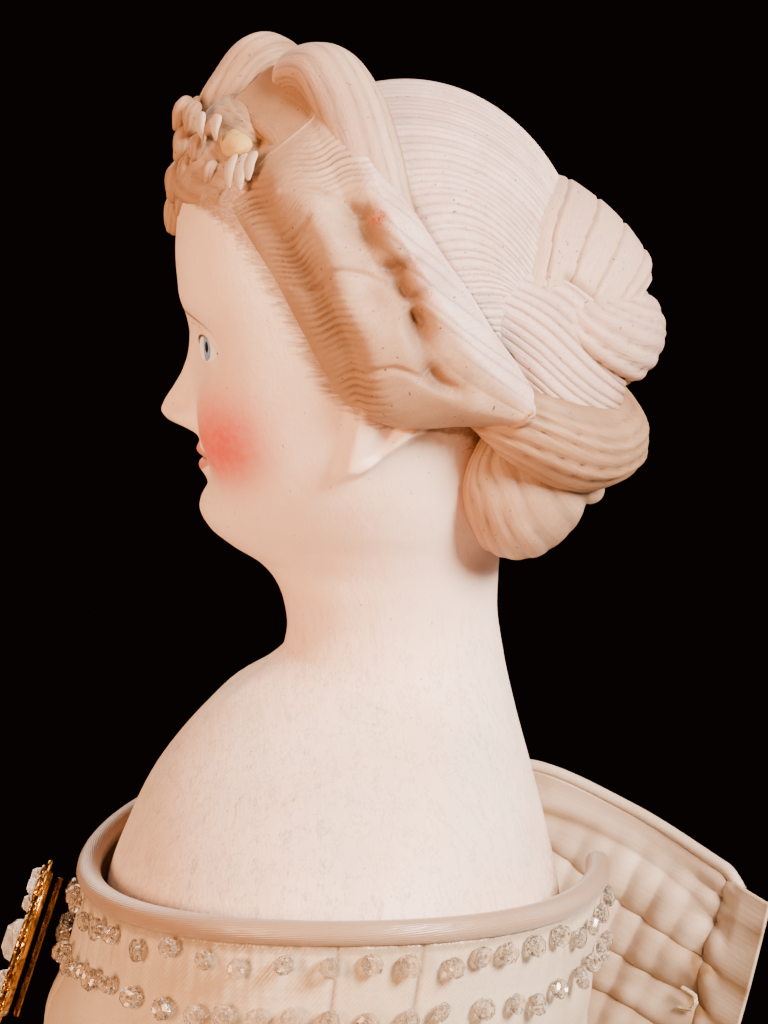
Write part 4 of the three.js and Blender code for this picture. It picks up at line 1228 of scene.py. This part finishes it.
def piping(finish):
    """The corded edge round the neckline, cut on the cross."""
    edges = (
        ("neckline_piping", "torso", SEAM, FRONT_END, bodice_point, PIPING_R, 0.85, 700),
        ("panel_piping", "back_panel", SHUT, SEAM - 0.02, panel_point, 0.95, 0.25, 150),
    )
    for name, body, low, high, place, size, soil, rows in edges:
        turn = np.linspace(low, high, 60)
        route = place(turn, NECKLINE + size + 0.2 + 0 * turn, -0.6 + 0 * turn)
        if body == "back_panel":
            route[:, 2] -= 1.8 * smoothstep(low + 0.07, low, turn)
        build = Build()
        plump = line((0, 0.3 * size), (0.01, 0.8 * size), (0.03, size), (0.5, size * 0.97), (1, size))
        lock(build, route, plump, plump, (0, -3, 380), seed=30, rows=rows, columns=24, soil=soil)
        piece = build.object(name, finish, body)
        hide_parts(name)


def facing_frame(outward):
    """Two directions across a direction."""
    across = unit(np.cross(outward, [0.03, 0.01, 1.0]))
    return across, np.cross(outward, across)


def cut_bead(build, centre, outward, size, source):
    """A short faceted glass bead, sewn with its hole to the front."""
    tilt = unit(outward + source.normal(size=3) * 0.28)
    across, up = facing_frame(tilt)
    around = np.linspace(0, TAU, 9) + source.uniform(0, 1)
    over = np.linspace(0, TAU, 8, endpoint=False)
    around, over = np.meshgrid(around, over, indexing="ij")
    radius = size * (0.6 + 0.4 * np.cos(over))
    ring = across * np.cos(around)[..., None] + up * np.sin(around)[..., None]
    points = centre + ring * radius[..., None]
    points = points + tilt * (0.46 * size * np.sin(over))[..., None]
    build.grid(points[::-1], closed=True)


def bead_rows(finish):
    spans = (
        ("torso", "", SEAM + 0.03, FRONT_END - 0.02, bodice_point),
        ("back_panel", "panel_", SHUT + 0.02, SEAM - 0.05, panel_point),
    )
    for body, prefix, low, high, place in spans:
        for row, drop, seed in (("upper", 1.9, 51), ("lower", 8.6, 52)):
            source = np.random.default_rng(seed + len(prefix))
            build = Build()
            turn = low
            while turn < high:
                z = NECKLINE - drop + source.normal() * 0.45
                spot = np.array([turn]), np.array([z])
                here, beyond = place(*spot, 1.3)[0], place(*spot, 3.0)[0]
                cut_bead(build, here, unit(beyond - here), source.uniform(1.45, 1.75), source)
                turn += source.uniform(4.4, 6.9) / BEAD_RING
            piece = build.object(f"{prefix}bead_row_{row}", finish, body)
            piece.data.shade_flat()
            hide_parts(f"{prefix}bead_row_{row}")


BROOCH = np.array([0, -52.4, 399.0])
BROOCH_LEAN = 0.32


def on_brooch(x, up, out):
    """A point on the brooch, from its middle: across, up and forward."""
    cos, sin = math.cos(BROOCH_LEAN), math.sin(BROOCH_LEAN)
    x, up, out = np.broadcast_arrays(x, up, out)
    return BROOCH + np.stack([x, -out * cos + up * sin, out * sin + up * cos], -1)


def wire_loop(build, centre, half_width, half_height, wire, steps=40, out=0.0):
    """A ring of wire lying on the brooch. wire is its radius."""
    turn = np.linspace(0, TAU, steps + 1)
    route = on_brooch(centre[0] + half_width * np.cos(turn), centre[1] + half_height * np.sin(turn), out)
    size = line((0, wire), (1, wire))
    lock(build, route, size, size, on_brooch(centre[0], centre[1], out), seed=60, rows=steps + 1, columns=9)


def gem(build, x, up, size, height, sides=8):
    """A cut stone: girdle, crown and table."""
    turn = np.linspace(0, TAU, sides, endpoint=False)
    rings = [
        (0.75 * size, -0.4 * height), (size, 0.1 * height), (0.86 * size, 0.6 * height),
        (0.5 * size, height)
    ]
    points = []
    for k, (reach, out) in enumerate(rings):
        facet = turn + 0.39 * k
        points.append(on_brooch(x + reach * np.cos(facet), up + reach * np.sin(facet), 1.0 + out))
    build.grid(np.array(points), closed=True, ends=True)


def brooch(gold, glass):
    """An openwork gilt brooch set with clear stones."""
    frame_build, stones, middle = Build(), Build(), Build()
    wire_loop(frame_build, (0, 0), 7.2, 10.7, 0.75, 60)
    wire_loop(frame_build, (0, 0), 4.6, 5.6, 0.5, 48, 0.4)
    for k in range(16):
        turn = TAU * k / 16
        x, up = 7.4 * math.cos(turn), 10.9 * math.sin(turn)
        wire_loop(frame_build, (x * 1.03, up * 1.02), 1.5, 1.7, 0.32, 20, 0.2)
        wire_loop(frame_build, (x * 0.8, up * 0.76), 1.15, 1.35, 0.28, 16, 0.5)
    for k in range(8):
        turn = TAU * (k + 0.5) / 8
        x, up = 6.9 * math.cos(turn), 10.2 * math.sin(turn)
        gem(stones, x, up, 1.45, 1.3)
        wire_loop(frame_build, (x, up), 1.6, 1.6, 0.3, 20, 0.9)
    gem(middle, 0, 0, 3.4, 2.2, 10)
    wire_loop(frame_build, (0, 0), 3.7, 3.7, 0.45, 40, 0.9)
    piece = frame_build.object("brooch_frame", gold, "torso")
    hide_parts("brooch_frame")
    small = [f"brooch_stone_{k}" for k in range(1, 9)]
    sets = (("brooch_stones", stones, small), ("brooch_centre_stone", middle, ["brooch_centre_stone"]))
    for name, build, nodes in sets:
        piece = build.object(name, glass, "torso")
        piece.data.shade_flat()
        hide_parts(*nodes)


SKIRT_ROWS = (
    (0, 142, -132, 132), (60, 133, -122, 122), (120, 120, -108, 108), (180, 103, -91, 91),
    (230, 84, -74, 74), (270, 66, -58, 58), (297, 50, -44, 44), (312, 38, -34, 33), (321, 31, -28.5, 25)
)


def skirt_folds(turn, z):
    """Deep folds at the hem that gather into small pleats at the waist, drawn inwards."""
    lean = turn + 0.05 * np.sin(z / 60 + 3 * turn)
    deep = np.sin(21 * lean + 1.6 * np.sin(2 * turn) + 0.6 * np.sin(5 * turn))
    pleats = np.sin(84 * lean + 2 * np.sin(3 * turn))
    return 2.6 * smoothstep(312, 120, z) * (deep - 0.6) + 0.55 * smoothstep(240, 306, z) * (pleats - 0.5)


def hung_round(
    name, finish, rows, z_low, z_high, out, thick, extra=0.0, high=80,
    wide=480
):
    """A closed ring of cloth round the legs: the skirt, the petticoat or the ruffle at the hem."""
    column = oval_rows(*rows)
    z, turn = round_grid(z_low, z_high, high, wide)
    belly = 0.4 + 0.6 * np.abs(np.sin((z - z_low) / (z_high - z_low) * math.pi))
    fine = extra * np.sin(120 * turn + 3 * np.sin(7 * turn)) * belly
    points = column(turn, z, out + skirt_folds(turn, z) + fine)
    seam = bump(z, z_low + 7, 0.5) if not extra else bump(z, z_high - 2.5, 0.5)
    piece = Build().cloth(points, thick, closed=True, uv=np.stack([turn * 130, z], -1), seam=seam)
    piece = piece.object(name, finish, "torso")
    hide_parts(name)


def skirts(silk, cotton):
    inner = tuple((z, half - 5, front + 5, back - 5) for z, half, front, back in SKIRT_ROWS[1:7])
    petticoat = ((6, 136, -126, 126),) + inner + ((309, 34.5, -30.5, 29.5), (315, 31, -27, 26))
    hung_round(
        "skirt", silk, SKIRT_ROWS, 0.6, 321, 0, 0.8
    )
    hung_round(
        "petticoat", cotton, petticoat, 6, 314.6, -0.4, 0.8,
    )
    hung_round(
        "hem_ruffle", silk, SKIRT_ROWS[:2], 2.2, 22, 3.4, 0.7,
        extra=0.8, high=14, wide=720
    )
    belt = oval_rows((321, 30.7, -28.7, 23.7), (330, 30.2, -28.2, 23.2))
    z, turn = round_grid(321.6, 329.4, 12, 240)
    points = belt(turn, z, 0.25 * np.sin(z * 1.6) + 0.15 * wobble(19, 9 * turn, z / 3))
    edge = bump(z, 322.4, 0.4) + bump(z, 328.6, 0.4)
    piece = Build().cloth(points, 1.3, closed=True, uv=np.stack([turn * 30, z], -1), seam=edge)
    piece = piece.object("waistband", silk, "torso")
    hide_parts("waistband")


# ---------------------------------------------------------------- body and limbs

ARM_SPLAY = math.radians(15)
ELBOW_DROP = np.array([0, 0, -75.0])
SLEEVE_CLEAR = 50.4
HIP_OUT, HIP_HEIGHT, HIP_ROOM = 15, 262.0, 13
# Profiles from the top down, each point a radius and a height: from the shoulder for the arm, from the
# elbow for ARM_TIE and FOREARM, and from the floor for the leg.
SLEEVE = (
    (1.5, 13), (5, 12.4), (8, 11.2), (11.3, 9), (13, 5.5), (14.1, -2), (14.2, -8), (13.5, -20), (12, -29),
    (10.3, -33.2),
)
SLEEVE_BAND = ((8.6, -33.3), (10.6, -33.6), (11.1, -34.4), (11.1, -37), (10.6, -37.8), (8.6, -38))
UPPER_ARM = (
    (2, 8.6), (6, 6.5), (8.3, 2), (8.5, -4), (8.2, -20), (7.6, -45), (6.9, -62), (7.2, -68), (7.9, -74),
    (7.4, -79), (5, -82), (1.5, -83),
)
ARM_TIE = ((7.5, -8.6), (8.5, -9.2), (8.7, -10.5), (8.5, -11.8), (7.5, -12.4))
FOREARM = (
    (1.5, 1), (5, 0.2), (6.9, -2), (7.4, -14), (7.2, -24), (5.7, -36), (4.3, -45), (4.1, -49), (3.4, -53),
    (1.5, -56),
)
THIGH = (
    (1.5, 273.6), (6, 272), (10, 268.5), (11.8, 262), (10.8, 252), (10.2, 230), (9.6, 190), (9, 156),
    (9.2, 147), (9.8, 140), (8.6, 134.6), (5, 131), (1.5, 130.2),
)
DRAWERS = ((12.4, 239.6), (12.9, 232), (13.3, 200), (13.4, 170), (13.2, 155.6))
LEG_TIE = ((10.1, 122.2), (11.4, 121.6), (11.7, 120.2), (11.4, 118.8), (10.1, 118.2))
CALF = (
    (1.5, 137), (6, 136.6), (9.2, 134.5), (9.9, 124), (10, 112), (11, 90), (10.2, 68), (7.8, 36), (7.2, 22),
    (7.4, 12), (6, 6), (1.5, 4),
)


def round_limb(profile, turn_count=64, rows=90, swell=None):
    """Rings about a limb's own axis, from (radius, height) points listed downwards."""
    heights, radii = -np.array([p[1] for p in profile], float), [p[0] for p in profile]
    down, turn = round_grid(heights[-1], heights[0], rows, turn_count)
    radius = line(*zip(heights, radii))(down)
    if swell is not None:
        radius = radius + swell(turn, -down)
    return np.stack([radius * np.cos(turn), radius * np.sin(turn), -down], -1), turn


def on_arm(points, side):
    """From the arm's own axes, with its shoulder at the origin and the limb along -Z, to the frame."""
    cos, sin = math.cos(ARM_SPLAY), math.sin(ARM_SPLAY)
    x, y, z = points[..., 0], points[..., 1], points[..., 2]
    across, up = SHOULDER[0] + cos * x - sin * z, SHOULDER[2] + sin * x + cos * z
    return np.stack([side * across, SHOULDER[1] + y, up], -1)


def limb_piece(name, points, turn, finish, slot_name, body, side=1, **fields):
    """One closed piece of a limb, under the name of the node it stands for."""
    uv = np.stack([turn * 9, points[..., 2]], -1)
    piece = Build().grid(points, closed=True, ends=True, flip=side < 0, uv=uv, **fields)
    piece = piece.object(name, finish, body)
    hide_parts(name)
    return piece


def sleeve_gathers(turn, z):
    full = 0.55 * np.sin(20 * turn + np.sin(3 * turn))
    return full * (0.3 + smoothstep(0, -30, z)) * smoothstep(13, 9, z)


def drawers_gathers(turn, z):
    return 0.45 * np.sin(18 * turn + np.sin(2 * turn)) * (0.4 + 0.6 * smoothstep(190, 160, z))


def arm_lumps(turn, z):
    return 0.22 * wobble(22, np.cos(turn), np.sin(turn), z / 7)


def thigh_lumps(turn, z):
    return 0.3 * wobble(25, np.cos(turn), np.sin(turn), z / 9)


def arms(silk, muslin, bisque):
    for name, side in SIDES:
        arm, forearm = "arm_" + name, "forearm_" + name
        puff, turn = round_limb(SLEEVE, 180, 110, sleeve_gathers)
        points = on_arm(puff, side)
        points[..., 0] = side * np.maximum(side * points[..., 0], SLEEVE_CLEAR + 0.15 * np.sin(8 * turn))
        piece = Build().cloth(
            points, 0.8, closed=True, flip=side < 0, uv=np.stack([turn * 13, puff[..., 2]], -1)
        )
        piece = piece.object("sleeve_" + name, silk, arm)
        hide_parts("sleeve_" + name)
        band, turn = round_limb(SLEEVE_BAND, 60, 30)
        limb_piece("sleeve_band_" + name, on_arm(band, side), turn, silk, "silk", arm, side)
        upper, turn = round_limb(UPPER_ARM, 64, 120, arm_lumps)
        seam = bump(turn_gap(turn, 3.1) * 8, 0, 0.5)
        piece = limb_piece(
            "upper_arm_" + name, on_arm(upper, side), turn, muslin, "muslin", arm, side, seam=seam
        )
        tie, turn = round_limb(ARM_TIE, 48, 20)
        tied = on_arm(tie + ELBOW_DROP, side)
        limb_piece("arm_binding_" + name, tied, turn, THREAD, "thread", forearm, side)
        hand(name, side, bisque)


def fused(name, build, finish, body, voxel, smooth=4):
    """Joins overlapping solids into one skin and softens the creases between them."""
    piece = build.object(name, finish, body)
    remesh = piece.modifiers.new("join", "REMESH")
    remesh.mode, remesh.voxel_size, remesh.use_smooth_shade = "VOXEL", voxel * MM, True
    soften = piece.modifiers.new("soften", "SMOOTH")
    soften.factor, soften.iterations = 0.5, smooth
    return piece


def hand(name, side, finish):
    """A moulded lower arm and hand: the fingers lie together and the thumb stands a little apart."""
    build = Build()
    wrist, _ = round_limb(FOREARM, 48, 80)
    squeeze = 1 - 0.3 * smoothstep(-36, -48, wrist[..., 2])
    wrist[..., 0] *= squeeze
    build.grid(on_arm(wrist + ELBOW_DROP, side), closed=True, ends=True, flip=side < 0)
    palm = on_arm(ELBOW_DROP + np.array([9.0, 0, -55]), side)

    def finger(route, thick):
        points = on_arm(np.array(route, float) + ELBOW_DROP, side)
        size = rounded(thick, 0.35)
        lock(build, points, size, size, palm, seed=24, rows=30, columns=16)

    finger([(0, -0.4, -47), (-0.2, -0.3, -53), (-0.4, 0, -59)], 2.9)
    finger([(0, -2.6, -49), (-0.3, -2.6, -54), (-0.5, -2.4, -59)], 2.2)
    finger([(0, 2.2, -49), (-0.3, 2.6, -54), (-0.5, 2.4, -59)], 2.2)
    for y, long in ((-3.6, 68.0), (-1.3, 70.0), (1.1, 69.2), (3.3, 66.4)):
        finger([(-0.4, y * 0.8, -56.5), (-0.2, y, -61), (-0.9, y * 0.98, -65), (-2.0, y * 0.92, -long)], 1.35)
    finger([(-0.2, -3.0, -50.5), (-0.8, -5.4, -54), (-1.4, -6.6, -58.5), (-1.6, -6.7, -61)], 1.4)
    piece = fused("forearm_" + name, build, finish, "forearm_" + name, 0.4)
    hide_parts("forearm_" + name)


def legs(cotton, muslin, bisque):
    for name, side in SIDES:
        hip = np.array([side * HIP_OUT, 0, 0.0])
        thigh, turn = round_limb(THIGH, 64, 160, thigh_lumps)
        body = "thigh_" + name
        seam = bump(np.abs(turn - 1.6) * 9, 0, 0.5)
        piece = limb_piece("thigh_" + name, thigh + hip, turn, muslin, "muslin", body, seam=seam)
        drawers, turn = round_limb(DRAWERS, 160, 80, drawers_gathers)
        hem = bump(drawers[..., 2], 159, 0.5) + bump(drawers[..., 2], 163, 0.5)
        piece = Build().cloth(
            drawers + hip, 0.8, closed=True, uv=np.stack([turn * 13, drawers[..., 2]], -1), seam=hem
        )
        piece = piece.object("drawers_" + name, cotton, body)
        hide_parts("drawers_" + name)
        tie, turn = round_limb(LEG_TIE, 56, 20)
        limb_piece("leg_binding_" + name, tie + hip, turn, THREAD, "thread", "lower_leg_" + name)
        boot(name, hip, bisque)


def boot(name, hip, finish):
    """A moulded lower leg with a painted heeled boot."""
    build = Build()
    calf, _ = round_limb(CALF, 56, 140)
    calf[..., 1] += 1.6 * bump(calf[..., 2], 88, 22)
    build.grid(calf + hip, closed=True, ends=True)
    above = hip + np.array([0, -10, 60.0])

    def part(route, width, thick):
        lock(build, np.array(route, float) + hip, width, thick, above, seed=26, rows=60, columns=32)

    foot = [(0, 7.5, 9.5), (0, 1, 9.5), (0, -8, 8.2), (0, -18, 6.6), (0, -29, 5.8)]
    sole = [(0, 8.4, 3.9), (0, 0, 3.6), (0, -12, 3.4), (0, -29.4, 3.6)]
    heel = [(0, 4.8, 12), (0, 5.2, 7), (0, 5.6, 2.4)]
    part(foot, rounded(7.4, 0.4), taper(7.2, 5.4, 3.2))
    part(sole, rounded(6.6, 0.5), line((0, 1.4), (0.3, 1.1), (1, 1.2)))
    part(heel, line((0, 5.4), (1, 4.6)), line((0, 4.4), (1, 3.9)))
    piece = fused("lower_leg_" + name, build, finish, "lower_leg_" + name, 0.6, 3)
    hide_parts("lower_leg_" + name)


TORSO = oval_rows(
    (257, 22, -12, 12), (264, 31, -19, 19), (280, 34, -23, 23), (300, 31, -22, 21), (318, 27, -20, 18),
    (332, 25.5, -19.5, 17.5), (350, 29, -24, 20), (372, 35, -32, 22), (390, 40.5, -35.5, 22),
    (402, 41.8, -36.4, 21.4), (413, 40, -34, 20), (420, 35.5, -30.5, 18), (427, 28, -25.5, 16),
    (433, 19, -19, 14)
)


def stuffed_torso(finish):
    """The stuffed muslin body, pushed in round the tops of the thighs."""
    z, turn = round_grid(257, 433, 190, 200)
    seam = sum(bump(turn_gap(turn, math.radians(at)) * 34, 0, 0.5) for at in (0, 90, 180))
    lumps = 0.5 * wobble(28, 3 * np.cos(turn), 3 * np.sin(turn), z / 14) - 0.4
    points = TORSO(turn, z, lumps - 0.5 * seam)
    for side in (1, -1):
        ball = points - np.array([side * HIP_OUT, 0, HIP_HEIGHT])
        gap = np.linalg.norm(ball, axis=-1, keepdims=True)
        pushed = points + ball / np.maximum(gap, 0.1) * (HIP_ROOM - gap)
        points = np.where(gap < HIP_ROOM, pushed, points)
    uv = np.stack([turn * 34, z], -1)
    piece = Build().grid(points, closed=True, ends=True, uv=uv, seam=np.clip(seam, 0, 1))
    piece = piece.object("cloth_torso", finish, "torso")
    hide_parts("cloth_torso")


def fastenings(steel, thread, gold):
    """Small hard parts that keep their solid shapes: hooks, eyes, stitches and the brooch's pin."""
    kept = [(f"hook_{k}", steel) for k in (1, 2, 3)] + [(f"eye_{k}", thread) for k in (1, 2, 3)]
    corners = [end + "_" + side for end in ("front", "back") for side in ("left", "right")]
    kept += [("plate_stitch_" + corner, thread) for corner in corners]
    for name, finish in kept + [("brooch_pin", gold)]:
        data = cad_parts[name].data
        data.materials.clear()
        data.materials.append(finish)


# ---------------------------------------------------------------- camera, light and floor

TARGET = Vector((0, 0, 0.463))
FLOOR_R = 420.0
VIEW_DISTANCE = 0.48
VIEW_TILT = math.radians(10)
LENS_MM = 118.1


def add_camera():
    data = bpy.data.cameras.new("camera")
    data.lens = LENS_MM
    data.sensor_width = 36
    data.clip_start = 0.01
    camera = bpy.data.objects.new("camera", data)
    bpy.context.scene.collection.objects.link(camera)
    camera.location = TARGET + VIEW_DISTANCE * Vector((math.cos(VIEW_TILT), 0, math.sin(VIEW_TILT)))
    camera.rotation_euler = (TARGET - camera.location).to_track_quat("-Z", "Y").to_euler()
    bpy.context.scene.camera = camera


def add_light(name, location, size, power, colour):
    data = bpy.data.lights.new(name, "AREA")
    data.shape = "DISK"
    data.size = size
    data.energy = power
    data.color = tone(colour)[:3]
    light = bpy.data.objects.new(name, data)
    light.location = location
    light.rotation_euler = (TARGET - Vector(location)).to_track_quat("-Z", "Y").to_euler()
    bpy.context.scene.collection.objects.link(light)


def add_studio():
    add_light("key", (0.7, 0.8, 1.1), 0.45, 74, "ffefe6")
    add_light("warm_fill", (0.9, -0.9, 0.6), 0.7, 40, "ffc090")
    add_light("far_side", (-1.0, -0.4, 1.0), 0.9, 8, "ffe9d6")
    add_light("behind", (-0.5, 1.1, 0.8), 0.6, 6, "f3f0ff")
    world = bpy.data.worlds.new("studio")
    bpy.context.scene.world = world
    world.use_nodes = True
    background = world.node_tree.nodes["Background"]
    background.inputs[0].default_value = tone("1c0d0f")
    background.inputs[1].default_value = 0.35
    turn = np.linspace(0, TAU, 96, endpoint=False)
    radii = np.array([0.0, FLOOR_R])[:, None]
    floor = np.stack([radii * np.cos(turn), radii * np.sin(turn), 0 * radii * turn - 0.3], -1)
    finish = Finish("floor", Roughness=0.7)
    finish.set(Base_Color=finish.mix(finish.noise(finish.place(), 60, 4), tone("d9d2ca"), tone("cfc7be")))
    mesh_object("floor", floor, grid_faces(2, 96, True), finish.material)


# ---------------------------------------------------------------- the doll

BISQUE = bisque_finish()
BARE_BISQUE = bare_bisque_finish()
HAIR = hair_finish()
SATIN = silk_finish()
COTTON = woven_finish("cotton", "efe8da", "c3ab82", 0.6)
MUSLIN = woven_finish("muslin", "ddd0b8", "a98f68", 0.8)
CRYSTAL = glass_finish("crystal", "efe3d2", 0.05, 0.92)
STONE = glass_finish("rhinestone", "ffffff", 0.03, 0.6)
GOLD = metal_finish("gold", "d6a247", "6a4318", 0.25)
STEEL = metal_finish("steel", "9a948a", "4b3a2c", 0.4)
THREAD = thread_finish()
BOOT = boot_finish()

add_camera()
add_studio()
head_skin(BISQUE)
hair_cap(HAIR)
hair_waves(HAIR)
hair_rolls(HAIR)
hair_fall(HAIR)
hair_ribbon(HAIR)
hair_flowers(HAIR)
stuffed_torso(MUSLIN)
bodice_front(SATIN)
bodice_panel(SATIN)
piping(SATIN)
bead_rows(CRYSTAL)
brooch(GOLD, STONE)
skirts(SATIN, COTTON)
arms(SATIN, MUSLIN, BARE_BISQUE)
legs(COTTON, MUSLIN, BOOT)
fastenings(STEEL, THREAD, GOLD)
